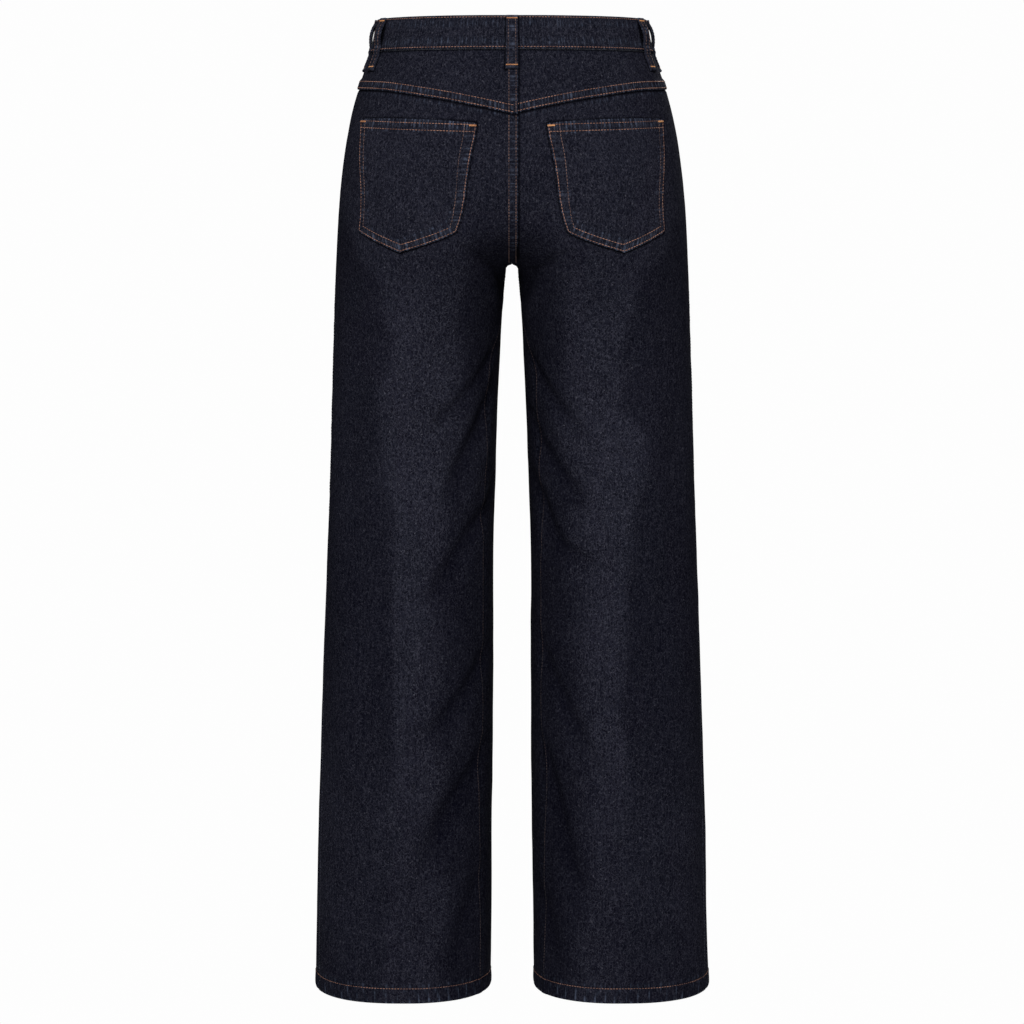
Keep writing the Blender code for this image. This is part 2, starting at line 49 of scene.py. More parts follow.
# Heights of the main lines, in metres
WAIST_TOP = 0.0180
BAND_FOOT = -0.0168
CROTCH = -0.2405
HEM = -1.0310

# Cloth and seams
CLOTH = 0.0016
HEM_CLOTH = 0.0029
HEM_DEPTH = 0.0165
SEAM_GAP = 0.0003
BAND_PROUD = 0.0012
BAND_CLOTH = 0.0032
LAP_RISE = 0.0018
LAP_UNDER = 0.004
FELL_WIDTH = 0.0064
POCKET_LIFT = 0.0022
FACING_CLOTH = 0.0012
FACING_DROP = 0.0024
LOOP_CLOTH = 0.0022
LOOP_WIDTH = 0.0127
LOOP_LENGTH = 0.0552

# The waist dips towards the front by this slope, and the dip dies out downwards
WAIST_SLOPE = 0.060
SLOPE_END = -0.150

# Horizontal sections of the left half, in millimetres. outer and inner are the
# ends of an oval across the leg. Where inner is negative the two ovals overlap
# and a web of that half width rounds the hollow between them.
SECTION_COLUMNS = ("z", "outer", "inner", "front", "back", "side_y",
                   "front_power", "back_power", "web")
SECTIONS = (
    (40.0, 138.0, -138.0, 93.0, 101.0, 0.0, 2.10, 2.10, 30.0),
    (17.5, 142.5, -142.5, 95.0, 104.0, 0.0, 2.10, 2.10, 30.0),
    (-15.0, 149.0, -149.0, 99.0, 110.0, 0.0, 2.10, 2.15, 30.0),
    (-43.0, 159.5, -157.0, 102.0, 116.0, 1.0, 2.10, 2.20, 32.0),
    (-88.0, 172.1, -136.0, 106.0, 125.0, 3.0, 2.20, 2.25, 40.0),
    (-139.0, 180.6, -100.0, 109.0, 134.0, 5.0, 2.30, 2.25, 42.0),
    (-190.0, 185.2, -54.0, 110.0, 137.0, 7.0, 2.35, 2.25, 38.0),
    (-216.0, 186.7, -22.0, 109.0, 134.5, 8.0, 2.35, 2.20, 28.0),
    (-232.0, 187.4, -5.0, 107.2, 131.0, 8.0, 2.35, 2.20, 16.0),
    (-240.5, 187.8, 0.0, 106.0, 128.8, 8.0, 2.35, 2.20, 0.0),
    (-250.0, 188.2, 4.0, 104.8, 126.4, 8.0, 2.32, 2.20, 0.0),
    (-265.0, 188.8, 7.0, 103.2, 123.3, 8.0, 2.30, 2.20, 0.0),
    (-280.0, 189.4, 8.5, 102.0, 120.8, 8.0, 2.28, 2.20, 0.0),
    (-366.0, 192.8, 13.5, 97.0, 111.0, 8.0, 2.20, 2.25, 0.0),
    (-453.0, 195.9, 17.1, 93.0, 103.0, 7.0, 2.20, 2.30, 0.0),
    (-541.0, 199.0, 19.5, 90.0, 98.0, 6.0, 2.20, 2.30, 0.0),
    (-673.0, 204.5, 20.6, 88.0, 95.0, 5.0, 2.20, 2.30, 0.0),
    (-851.0, 210.9, 21.7, 88.0, 95.0, 5.0, 2.20, 2.30, 0.0),
    (-1045.0, 216.2, 23.9, 89.0, 97.0, 5.0, 2.20, 2.30, 0.0),
)

# Half the gap between the legs just below the crotch, whose top is nearly flat
GAP_COLUMNS = ("z", "gap")
LEG_GAP = (
    (-240.5, 0.0),
    (-241.0, 4.4),
    (-242.0, 5.5),
    (-244.0, 6.3),
    (-248.5, 6.9),
    (-254.5, 7.4),
    (-265.0, 8.0),
    (-280.0, 8.5),
    (-310.0, 9.2),
)
GAP_SOFTNESS = 0.2

# Shares of the half section, from side to inner end, that the oval and the web take
OVAL_SHARE = 0.8
WEB_SHARE = 0.2
# Steps along the half section in which its length is measured
ARC_STEPS = np.linspace(0.0, 1.0, 61)
# Height above the crotch over which places are squeezed next to the web
SQUEEZE_HEIGHT = 0.130

# Where the leg seams run: height in millimetres and place round the half ring
SEAM_COLUMNS = ("z", "outseam", "inseam")
SEAMS = (
    (40.0, 1.00, 2.00),
    (-240.5, 1.00, 2.00),
    (-288.0, 1.01, 1.945),
    (-330.0, 1.02, 1.865),
    (-370.0, 1.03, 1.828),
    (-500.0, 1.05, 1.832),
    (-713.0, 1.08, 1.845),
    (-810.0, 1.10, 1.826),
    (-900.0, 1.11, 1.838),
    (-1045.0, 1.11, 1.850),
)

# The yoke seam on the back: place along the half ring and height in millimetres
YOKE_COLUMNS = ("u", "z")
YOKE_SEAM = (
    (1.00, -55.5),
    (1.34, -57.5),
    (1.62, -64.5),
    (1.90, -75.5),
    (2.00, -80.5),
)

# Folds and creases of the cloth on each side: height (troughs negative), how far the
# crease spreads towards the side seam and towards the inside, all in millimetres, and
# its path as places (u, z)
FOLDS = {
    "left": (
        # back of the leg
        (-3.5, 8, 10, ((1.91, -275), (1.88, -262), (1.79, -240), (1.69, -222), (1.62, -205))),
        (2.0, 8, 9, ((1.86, -288), (1.82, -274), (1.73, -250), (1.64, -228))),
        (-4.4, 8, 13, ((1.88, -315), (1.806, -339), (1.70, -371), (1.602, -397), (1.55, -420))),
        (1.6, 9, 9, ((1.80, -345), (1.754, -361), (1.676, -415), (1.65, -440))),
        (-4.6, 8, 13, ((1.90, -340), (1.836, -369), (1.74, -415), (1.652, -463), (1.61, -500))),
        (1.4, 9, 9, ((1.86, -400), (1.83, -425), (1.75, -468), (1.692, -507))),
        (-4.8, 9, 15, ((1.91, -455), (1.88, -484), (1.736, -521), (1.622, -570), (1.56, -600))),
        (-4.8, 9, 13, ((1.86, -640), (1.796, -668), (1.69, -706), (1.584, -739), (1.53, -765))),
        (1.6, 10, 10, ((1.80, -700), (1.70, -745), (1.62, -790), (1.57, -830))),
        (-6.0, 10, 17, ((1.86, -740), (1.802, -769), (1.70, -806), (1.622, -841), (1.546, -915))),
        (-1.8, 7, 9, ((1.70, -886), (1.62, -897), (1.53, -906))),
        (-3.2, 12, 15, ((1.86, -880), (1.78, -912), (1.72, -967), (1.70, -1010))),
        (2.6, 15, 13, ((1.20, -715), (1.288, -770), (1.38, -825), (1.48, -877), (1.53, -925))),
        (-3.0, 12, 10, ((1.32, -690), (1.38, -735), (1.45, -795), (1.51, -850))),
        (-1.8, 13, 12, ((1.30, -610), (1.35, -650), (1.41, -705))),
        (-1.8, 12, 12, ((1.36, -875), (1.39, -905), (1.45, -960))),
        (-1.3, 5, 6, ((1.44, -338), (1.455, -365), (1.49, -412))),
        (3.4, 13, 27, ((1.36, -205), (1.405, -238), (1.44, -281), (1.472, -321), (1.462, -370),
                       (1.455, -419), (1.475, -475), (1.50, -530), (1.53, -590), (1.53, -680),
                       (1.52, -764), (1.53, -860), (1.54, -960), (1.55, -1060))),
        (-2.8, 24, 17, ((1.16, -190), (1.25, -250), (1.30, -330), (1.27, -420), (1.29, -520),
                        (1.34, -620))),
        # drag lines on the seat
        (-1.2, 5, 5, ((1.975, -196), (1.93, -182), (1.87, -172))),
        (-0.9, 5, 5, ((1.98, -172), (1.94, -164), (1.88, -158))),
        # hidden front
        (-3.0, 9, 11, ((0.08, -262), (0.20, -240), (0.34, -222))),
        (-4.0, 11, 9, ((0.10, -300), (0.24, -322), (0.38, -345), (0.52, -375))),
        (-4.2, 13, 9, ((0.10, -350), (0.22, -392), (0.36, -430), (0.48, -470))),
        (-3.6, 14, 10, ((0.10, -520), (0.24, -560), (0.40, -600), (0.50, -645))),
        (-3.8, 15, 10, ((0.12, -720), (0.26, -770), (0.42, -820), (0.52, -890))),
        (-1.4, 6, 6, ((0.10, -196), (0.34, -184), (0.62, -172))),
        (2.8, 16, 26, ((0.60, -210), (0.55, -330), (0.56, -480), (0.50, -640), (0.48, -1060))),
    ),
    "right": (
        # back of the leg
        (-3.6, 8, 10, ((1.90, -284), (1.86, -271), (1.79, -252), (1.70, -233), (1.62, -215))),
        (2.2, 8, 9, ((1.88, -305), (1.82, -285), (1.74, -262), (1.65, -238))),
        (-4.2, 8, 13, ((1.88, -322), (1.806, -346), (1.72, -375), (1.638, -403), (1.59, -430))),
        (1.6, 9, 9, ((1.80, -360), (1.74, -385), (1.67, -426), (1.64, -450))),
        (-4.8, 9, 13, ((1.88, -385), (1.796, -424), (1.70, -455), (1.642, -477), (1.60, -510))),
        (-5.6, 10, 16, ((1.90, -450), (1.818, -481), (1.71, -534), (1.598, -553), (1.54, -575))),
        (-1.5, 7, 9, ((1.67, -428), (1.56, -434), (1.44, -442))),
        (-1.6, 9, 9, ((1.46, -380), (1.46, -405), (1.48, -425))),
        (-4.5, 9, 14, ((1.86, -620), (1.788, -661), (1.69, -712), (1.592, -768), (1.55, -810))),
        (2.0, 9, 9, ((1.78, -660), (1.738, -708), (1.68, -755), (1.636, -791), (1.60, -830))),
        (-5.5, 10, 16, ((1.85, -735), (1.796, -769), (1.73, -830), (1.67, -893), (1.59, -925))),
        (-3.0, 12, 15, ((1.88, -900), (1.80, -940), (1.76, -985), (1.74, -1015))),
        (-1.8, 13, 12, ((1.28, -560), (1.35, -620), (1.38, -690))),
        (-1.9, 12, 12, ((1.42, -760), (1.40, -820), (1.44, -890))),
        (3.4, 13, 27, ((1.36, -200), (1.395, -235), (1.42, -270), (1.455, -305), (1.49, -344),
                       (1.455, -395), (1.43, -440), (1.45, -500), (1.485, -570), (1.51, -650),
                       (1.53, -742), (1.535, -860), (1.54, -960), (1.55, -1060))),
        (-2.8, 24, 17, ((1.16, -190), (1.24, -250), (1.30, -340), (1.25, -420), (1.28, -520),
                        (1.33, -640))),
        # drag lines on the seat
        (-1.3, 5, 5, ((1.975, -190), (1.92, -180), (1.86, -176))),
        (-1.0, 5, 5, ((1.98, -166), (1.94, -158), (1.89, -152))),
        # hidden front
        (-3.2, 9, 11, ((0.09, -268), (0.22, -246), (0.36, -226))),
        (-3.8, 11, 9, ((0.10, -315), (0.22, -336), (0.36, -365), (0.50, -398))),
        (-4.4, 13, 9, ((0.10, -395), (0.24, -430), (0.38, -476), (0.48, -520))),
        (-3.6, 14, 10, ((0.12, -580), (0.26, -622), (0.40, -670), (0.52, -720))),
        (-3.2, 15, 10, ((0.12, -790), (0.28, -840), (0.44, -900), (0.52, -950))),
        (-1.4, 6, 6, ((0.08, -206), (0.30, -192), (0.56, -186))),
        (2.8, 16, 26, ((0.60, -205), (0.56, -340), (0.54, -500), (0.49, -660), (0.48, -1060))),
    ),
}
# Mean length of the half section round the hips, which turns u into metres
GIRTH = 0.300
# Half a seam's gap in u, and the height of the seam under the waistband
INSET = SEAM_GAP / 2 / GIRTH
BAND_SEAM = BAND_FOOT - SEAM_GAP / 2

# Painted shade round the paler, lit band down the middle of each leg: height in millimetres,
# where the band ends towards the side and towards the inside, as places round the half
# ring, the painted shade towards the side and towards the inside, and how much of the
# painted lightness is kept at that height
BAND_COLUMNS = ("z", "left_side", "left_inside", "right_side", "right_inside", "side_painted_shade",
                "inside_painted_shade", "painted_paleness")
PAINTED_LEG_SHADE = (
    (-130, 1.200, 1.800, 1.200, 1.800, 0.16, 0.46, 0.73),
    (-200, 1.232, 1.716, 1.247, 1.716, 0.28, 0.28, 0.74),
    (-255, 1.364, 1.644, 1.388, 1.623, 0.36, 0.40, 0.82),
    (-292, 1.390, 1.617, 1.422, 1.642, 0.40, 0.46, 0.92),
    (-334, 1.415, 1.658, 1.460, 1.634, 0.40, 0.46, 0.98),
    (-376, 1.384, 1.658, 1.473, 1.650, 0.40, 0.46, 1.00),
    (-419, 1.396, 1.658, 1.384, 1.683, 0.40, 0.46, 1.00),
    (-473, 1.420, 1.613, 1.405, 1.629, 0.42, 0.46, 1.00),
    (-526, 1.446, 1.636, 1.442, 1.654, 0.44, 0.47, 0.97),
    (-591, 1.440, 1.582, 1.457, 1.634, 0.45, 0.48, 0.94),
    (-656, 1.452, 1.607, 1.469, 1.646, 0.44, 0.49, 0.92),
    (-721, 1.459, 1.597, 1.489, 1.623, 0.40, 0.47, 0.90),
    (-785, 1.459, 1.638, 1.473, 1.615, 0.27, 0.43, 0.83),
    (-852, 1.401, 1.595, 1.477, 1.629, 0.12, 0.40, 0.76),
    (-917, 1.448, 1.683, 1.485, 1.599, 0.12, 0.38, 0.74),
    (-972, 1.430, 1.646, 1.481, 1.685, 0.22, 0.42, 0.74),
    (-1045, 1.430, 1.650, 1.480, 1.690, 0.28, 0.46, 0.73),
)
# Painted shade in the troughs of the inner creases and painted highlight on their ridges: amount, and the
# fold depth and height at which each is full
CREASE_PAINTED_SHADE, CREASE_DEPTH = 0.28, 0.0045
RIDGE_PAINTED_HIGHLIGHT, RIDGE_HEIGHT = 0.35, 0.0020
# Painted shade on the pieces above the legs: how much darker than the palest cloth they are
PIECE_PAINTED_SHADE = {"waistband": 0.20, "yoke": 0.27, "pocket": 0.19, "loop": 0.08}

# Wear of the cloth along its edges and rows of stitches: reach in metres and amount
WEAR = {
    "hem_edge": (0.0022, 0.90),
    "hem_row": (0.0028, 0.45),
    "inseam": (0.0030, 0.30),
    "outseam": (0.0030, 0.45),
    "lap_edge": (0.0016, 0.70),
    "lap_rows": (0.0040, 0.50),
    "under_yoke": (0.0022, 0.45),
    "yoke_edge": (0.0016, 0.80),
    "yoke_rows": (0.0034, 0.62),
    "yoke_top": (0.0030, 0.30),
    "yoke_side": (0.0030, 0.40),
    "scoop_edge": (0.0022, 0.70),
    "scoop_rows": (0.0035, 0.45),
    "fly_edge": (0.0020, 0.60),
    "facing_side": (0.0020, 0.30),
    "band_top": (0.0016, 0.75),
    "band_foot": (0.0016, 0.60),
    "band_low_rows": (0.0040, 0.52),
    "band_high_rows": (0.0045, 0.42),
    "pocket_edge": (0.0024, 1.00),
    "pocket_rows": (0.0040, 0.60),
    "pocket_inside": (0.0012, 0.55),
    "loop_edge": (0.0008, 0.30),
    "loop_middle": (0.0034, 0.50),
    "loop_foot": (0.0012, 0.80),
    "loop_top": (0.0014, 0.70),
}

# Seeds of the unevenness and puckers of each side's pieces
SEEDS = {
    "left": {"folds": 11, "back": 51, "yoke": 61, "front": 71, "pocket": 95},
    "right": {"folds": 12, "back": 52, "yoke": 62, "front": 72, "pocket": 97},
}

# Unevenness of the cloth: lump width, lumps round a leg, lump height and depth, in metres
UNEVENNESS = (
    (0.050, 12, 0.095, 0.00055),
    (0.600 / 34, 34, 0.026, 0.00022),
)

# Back patch pocket: its corners as places (u, z), z in millimetres
POCKET_CORNERS = {
    "top_inner": (1.850, -89.5),
    "top_outer": (1.266, -86.5),
    "low_outer": (1.296, -200.0),
    "point": (1.444, -220.0),
    "low_inner": (1.660, -198.5),
}
POCKET_ARCH = 0.0022
POCKET_BOW = 0.034
POCKET_INNER_BOW = 0.008
POCKET_HEIGHT = 0.112

# Front pocket opening: its width and depth from the side seam and waistband
SCOOP_WIDTH = 0.085
SCOOP_DEPTH = 0.062
FACING_MARGIN = 0.016

# Fly: how far the left front laps over the right, its length and its stitched curve
FLY_LAP = 0.006
FLY_RISE = 0.0021
FLY_EDGE = 0.020
FLY_FOOT = -0.1767
FLY_BLEND = 0.0280
FLY_STITCH = 0.038
SHIELD_WIDTH = 0.034
SHIELD_CLOTH = 0.0014

# Belt loops: place round the half ring, side and gap to the cloth behind
LOOPS = (
    ("back", "left", 2.000, 0.0016),
    ("side_left", "left", 1.205, 0.0026),
    ("side_right", "right", 1.205, 0.0026),
    ("front_left", "left", 0.960, 0.0023),
    ("front_right", "right", 0.960, 0.0023),
)

# Stitches, in metres: distance between them, length and thickness of the thread
STITCH_PITCH = 0.0033
STITCH_LENGTH = 0.0027
THREAD = 0.00074
LOOP_TACK_UP = 0.0038
ROW_EDGE = 0.0016
ROW_GAP = 0.0066
INSEAM_ROW = 0.0060
OUTSEAM_ROW = 0.0018
HEM_PITCH = 0.0031
TACK_PITCH = 0.00055
# Bar tacks at a pocket's top corners: corner, how far inside it and width
POCKET_TACKS = (("top_inner", -0.0052, 0.0085), ("top_outer", 0.0072, 0.0125))
# A thread's outline: places along it, sizes and how far it sinks into the cloth
THREAD_SECTIONS = ((-1.0, 0.45, -0.55), (-0.62, 1.0, 0.0), (0.62, 1.0, 0.0), (1.0, 0.45, -0.55))
THREAD_ANGLES = np.linspace(0, 2 * math.pi, 7)[:-1]
# Edges sharper than these angles, in degrees, are shaded as edges
CLOTH_SHARP = 50
METAL_SHARP = 40
# A pocket's rows of stitches: how far inside the edges each row starts and ends, from the
# top edge round, and which of the edges it is sewn along
POCKET_ROWS = (
    (((0.0016, 0.0016), (0.0016, 0.0016), (0.0016, 0.0016), (0.0016, 0.0016), (0.0016, 0.0016)),
     (0, 1, 2, 3, 4)),
    (((0.0016, 0.0016), (0.0108, 0.0057), (0.0072, 0.0078), (0.0078, 0.0072), (0.0096, 0.0142)),
     (1, 2, 3, 4)),
    (((0.0084, 0.0084), (0.0016, 0.0016), (0.0016, 0.0016), (0.0016, 0.0016), (0.0016, 0.0016)),
     (0,)),
)


def columns(rows, names):
    """Turn a table into arrays by name, ordered by its first column."""
    return dict(zip(names, np.array(sorted(rows), float).T))


def smooth_value(x, xs, ys):
    """Monotone cubic through the points (xs, ys), read at x."""
    steps = np.diff(xs)
    slopes = np.diff(ys) / steps
    same = slopes[:-1] * slopes[1:] > 0
    weight_a, weight_b = 2 * steps[1:] + steps[:-1], steps[1:] + 2 * steps[:-1]
    safe_a, safe_b = np.where(same, slopes[:-1], 1.0), np.where(same, slopes[1:], 1.0)
    inner = np.where(same, (weight_a + weight_b) / (weight_a / safe_a + weight_b / safe_b), 0.0)
    tangents = np.concatenate([slopes[:1], inner, slopes[-1:]])
    x = np.clip(x, xs[0], xs[-1])
    i = np.clip(np.searchsorted(xs, x) - 1, 0, len(xs) - 2)
    t = (x - xs[i]) / steps[i]
    a = (1 + 2 * t) * (1 - t) ** 2 * ys[i] + t * (1 - t) ** 2 * steps[i] * tangents[i]
    b = t * t * (3 - 2 * t) * ys[i + 1] + t * t * (t - 1) * steps[i] * tangents[i + 1]
    return a + b


def soft_step(x):
    x = np.clip(x, 0.0, 1.0)
    return x * x * (3 - 2 * x)


SECTION = columns(SECTIONS, SECTION_COLUMNS)
GAP = columns(LEG_GAP, GAP_COLUMNS)
SEAM = columns(SEAMS, SEAM_COLUMNS)
YOKE = columns(YOKE_SEAM, YOKE_COLUMNS)
BAND = columns(PAINTED_LEG_SHADE, BAND_COLUMNS)


def section(z, name):
    """A section's value at height z, in metres, or as it is for a power."""
    value = smooth_value(z / MM, SECTION["z"], SECTION[name])
    return value if name.endswith("power") else value * MM


def half_curve(p, z, back):
    """A point of the half section at height z: p is 0 at the side and 1 at the inner end."""
    outer, inner, side_y = (section(z, name) for name in ("outer", "inner", "side_y"))
    depth = np.where(back, section(z, "back") - side_y, section(z, "front") + side_y)
    power = np.where(back, section(z, "back_power"), section(z, "front_power"))
    middle, reach = (outer + inner) / 2, (outer - inner) / 2
    web = np.maximum(section(z, "web"), 1e-6)
    joined = z > CROTCH
    cut = np.clip((web - middle) / reach, -1.0, 1.0)
    cut_angle = np.arccos(np.sign(cut) * np.abs(cut) ** (power / 2))
    share = np.where(joined, OVAL_SHARE, 1.0)
    angle = np.where(joined, cut_angle, math.pi) * np.minimum(p / share, 1.0)
    cosine, sine = np.cos(angle), np.maximum(np.sin(angle), 0.0)
    x = middle + reach * np.sign(cosine) * np.abs(cosine) ** (2 / power)
    y = depth * sine ** (2 / power)
    # the oval's inner end is pressed back to the gap between the legs
    gap = smooth_value(z / MM, GAP["z"], GAP["gap"]) * MM
    x = np.where(joined, x, (x + gap + np.hypot(x - gap, GAP_SOFTNESS * gap)) / 2)
    # the web between the legs: a quadratic curve from the oval to the centre plane
    level = np.clip(1 - np.abs(cut) ** power, 1e-9, 1.0)
    edge_y = depth * level ** (1 / power)
    slope = np.maximum(depth / reach * np.abs(cut) ** (power - 1) * level ** (1 / power - 1), 1e-6)
    slope = np.where(cut < 0, slope, 1e-6)
    drop = np.minimum(slope * web / 2, np.minimum(1.2 * web, 0.75 * edge_y))
    t = np.clip((p - share) / WEB_SHARE, 0.0, 1.0)
    web_x = (1 - t) ** 2 * web + 2 * t * (1 - t) * (web - drop / slope)
    web_y = (1 - t) ** 2 * edge_y + (1 - (1 - t) ** 2) * (edge_y - drop)
    on_web = joined & (p > share)
    y = np.where(on_web, web_y, y)
    return np.where(on_web, web_x, x), side_y + np.where(back, y, -y)


def half_length(z, back):
    """Cumulative length along the half section, one row for each z."""
    p = np.broadcast_to(ARC_STEPS, (len(z), len(ARC_STEPS)))
    x, y = half_curve(p, np.broadcast_to(z[:, None], p.shape), np.broadcast_to(back, p.shape))
    steps = np.hypot(np.diff(x, axis=1), np.diff(y, axis=1))
    return np.concatenate([np.zeros((len(z), 1)), np.cumsum(steps, axis=1)], axis=1)


# Length of a leg's front and back half at the crotch
LEG_LENGTH = [half_length(np.array([CROTCH - 1e-6]), back)[0, -1] for back in (False, True)]


def travel(along, z, length, back):
    """How far along the half section a place lies.

    Just above the crotch the section is cut short by the web. Only the half of
    it next to the web is squeezed, so the places nearer the side don't shift.
    """
    full = np.where(back, LEG_LENGTH[1], LEG_LENGTH[0])
    near = 1 - soft_step((z - CROTCH) / SQUEEZE_HEIGHT)
    nominal = np.where(z > CROTCH, length + near * np.maximum(full - length, 0.0), length)
    t = np.clip(2 * along - 1, 0.0, 1.0)
    squeezed = nominal / 2 * (1 + t) + (length - nominal) * t * t
    return np.where(along < 0.5, nominal * along, squeezed)


def skin(u, z):
    """The plain form of the left half at places (u, z), as an array of points."""
    u, z = (a.astype(float) for a in np.broadcast_arrays(np.atleast_1d(u), np.atleast_1d(z)))
    joined, over, under = z > CROTCH, u > 2, u < 0
    flip = joined & (over | under)
    u = np.where(over, np.where(joined, 4 - u, u - 2), u)
    u = np.where(under, np.where(joined, -u, u + 2), u)
    back, along = u >= 1, np.abs(u - 1)
    heights, row = np.unique(z, return_inverse=True)
    front_table, back_table = (half_length(heights, is_back) for is_back in (False, True))
    lengths = np.where(back[:, None], back_table[row], front_table[row])
    target = travel(along, z, lengths[:, -1], back)
    i = np.clip((lengths < target[:, None]).sum(axis=1) - 1, 0, len(ARC_STEPS) - 2)
    rows = np.arange(len(z))
    low, high = lengths[rows, i], lengths[rows, i + 1]
    p = ARC_STEPS[i] + (target - low) / np.maximum(high - low, 1e-12) * ARC_STEPS[1]
    x, y = half_curve(p, z, back)
    tilt = WAIST_SLOPE * soft_step((z - SLOPE_END) / (0.0 - SLOPE_END))
    return np.stack([np.where(flip, -x, x), y, z + tilt * y], axis=1)


def skin_normal(u, z):
    """Unit normals of the plain form, pointing out of the cloth."""
    du, dz = 0.004, 0.0008
    normal = np.cross(skin(u + du, z) - skin(u - du, z), skin(u, z + dz) - skin(u, z - dz))
    size = np.linalg.norm(normal, axis=1, keepdims=True)
    return np.where(size > 1e-12, normal / np.maximum(size, 1e-12), np.array([0.0, 0.0, -1.0]))


def waves(x, y, seed, period=64):
    """Smooth seeded noise, about -1 to 1, one lump per unit, repeating after period in x."""
    table = np.random.RandomState(seed).uniform(-1, 1, (period, 64))
    i, j = np.floor(x).astype(int), np.floor(y).astype(int)
    a, b = soft_step(x - i), soft_step(y - j)
    i, j, ii, jj = i % period, j % 64, (i + 1) % period, (j + 1) % 64
    low = table[i, j] * (1 - a) + table[ii, j] * a
    high = table[i, jj] * (1 - a) + table[ii, jj] * a
    return low * (1 - b) + high * b


def fold_height(u, z, side):
    """Height of the folds and of the cloth's slight unevenness at places (u, z)."""
    height = np.zeros_like(z)
    leg = z <= CROTCH
    u = np.where(leg, np.mod(u, 2), u)
    for depth, to_side, to_inside, path in FOLDS[side]:
        us, zs = np.array(sorted(path, key=lambda place: place[1]), float).T
        zs = zs * MM
        # on the back the inside lies towards u = 2, on the front towards u = 0
        toward = 1 if us.mean() > 1 else -1
        centre = smooth_value(z, zs, us)
        slope = (smooth_value(z + MM, zs, us) - smooth_value(z - MM, zs, us)) / (2 * MM) * GIRTH
        away = np.where(leg, np.mod(u - centre + 1, 2) - 1, u - centre)
        across = toward * away * GIRTH / np.hypot(1, slope)
        spread = np.where(across > 0, to_inside, to_side) * MM
        run = np.clip((z - zs[0]) / (zs[-1] - zs[0]), 0, 1)
        taper = np.where((z > zs[0]) & (z < zs[-1]), 1 - np.abs(2 * run - 1) ** 3, 0.0)
        height += depth * MM * taper * np.exp(-(across / spread) ** 2)
    seed = SEEDS[side]["folds"]
    # both sides meet smoothly on the centre line above the crotch and under the waistband
    to_centre = np.minimum(np.abs(u), np.abs(2 - u)) * GIRTH
    apart = 1 - (1 - soft_step(to_centre / 0.030)) * soft_step((z - CROTCH + 0.030) / 0.030)
    calm = apart * soft_step((BAND_FOOT - z) / 0.05)
    for size, count, tall, amount in UNEVENNESS:
        height += calm * amount * waves(u * GIRTH / size, z / tall + 20, seed, count)
        seed += 10
    return height


def cloth(u, z, side, lift=0.0):
    """Points of the cloth's outside at places (u, z), moved out by lift."""
    u, z, lift = (a.astype(float) for a in np.broadcast_arrays(u, z, lift))
    shape = u.shape
    u, z, lift = u.ravel(), z.ravel(), lift.ravel()
    height = fold_height(u, z, side) + lift
    points = skin(u, z) + skin_normal(u, z) * height[:, None]
    if side == "right":
        points[:, 0] = -points[:, 0]
    return points.reshape(shape + (3,))


def half_width(z, back=False):
    """Length of the half section at height z, the length that u = 1 stands for."""
    return half_length(np.atleast_1d(z), back)[:, -1]


WAIST_HALF = half_width(0.0)[0]
BAND_HALF = half_width(BAND_FOOT)[0]


def seam_u(z, name):
    """Where a leg seam crosses height z."""
    return smooth_value(z / MM, SEAM["z"], SEAM[name])


def seam_distances(u, z, back):
    """Distances in metres from the outseam and from the inseam, positive on the panel."""
    outseam, inseam = seam_u(z, "outseam"), seam_u(z, "inseam")
    if back:
        return (u - outseam) * GIRTH, (inseam - u) * GIRTH
    return (outseam - u) * GIRTH, (u - inseam + 2) * GIRTH


def yoke_z(u):
    return smooth_value(u, YOKE["u"], YOKE["z"]) * MM


def centre_share(z, distance):
    """How far in u a place lies from the centre back line when its x is distance, for each z."""
    steps = np.linspace(0.0, 0.35, 36)
    grid_z, grid_u = np.meshgrid(z, 2 - steps, indexing="ij")
    x = skin(grid_u.ravel(), grid_z.ravel())[:, 0].reshape(grid_z.shape)
    return np.array([np.interp(distance, np.maximum.accumulate(row), steps) for row in x])


def centre_x(u, z):
    """Distance from the centre line on the left half's form, negative past it."""
    return skin(u.ravel(), z.ravel())[:, 0].reshape(u.shape)


def puckers(along, seed, pitch=0.0068):
    """Small uneven puckers along a seam, about -1 to 1."""
    return waves(along / pitch + 30, np.full_like(along, 0.5), seed)


def turned(distance, depth=0.0009, reach=0.0016):
    """How far cloth sinks where its edge turns under."""
    return -depth * (1 - np.sqrt(np.clip(1 - (1 - np.clip(distance / reach, 0, 1)) ** 2, 0, 1)))


def ridge(distance, height, width):
    """A soft ridge along distance 0, or a trough where its height is negative."""
    return height * np.exp(-(distance / width) ** 2)


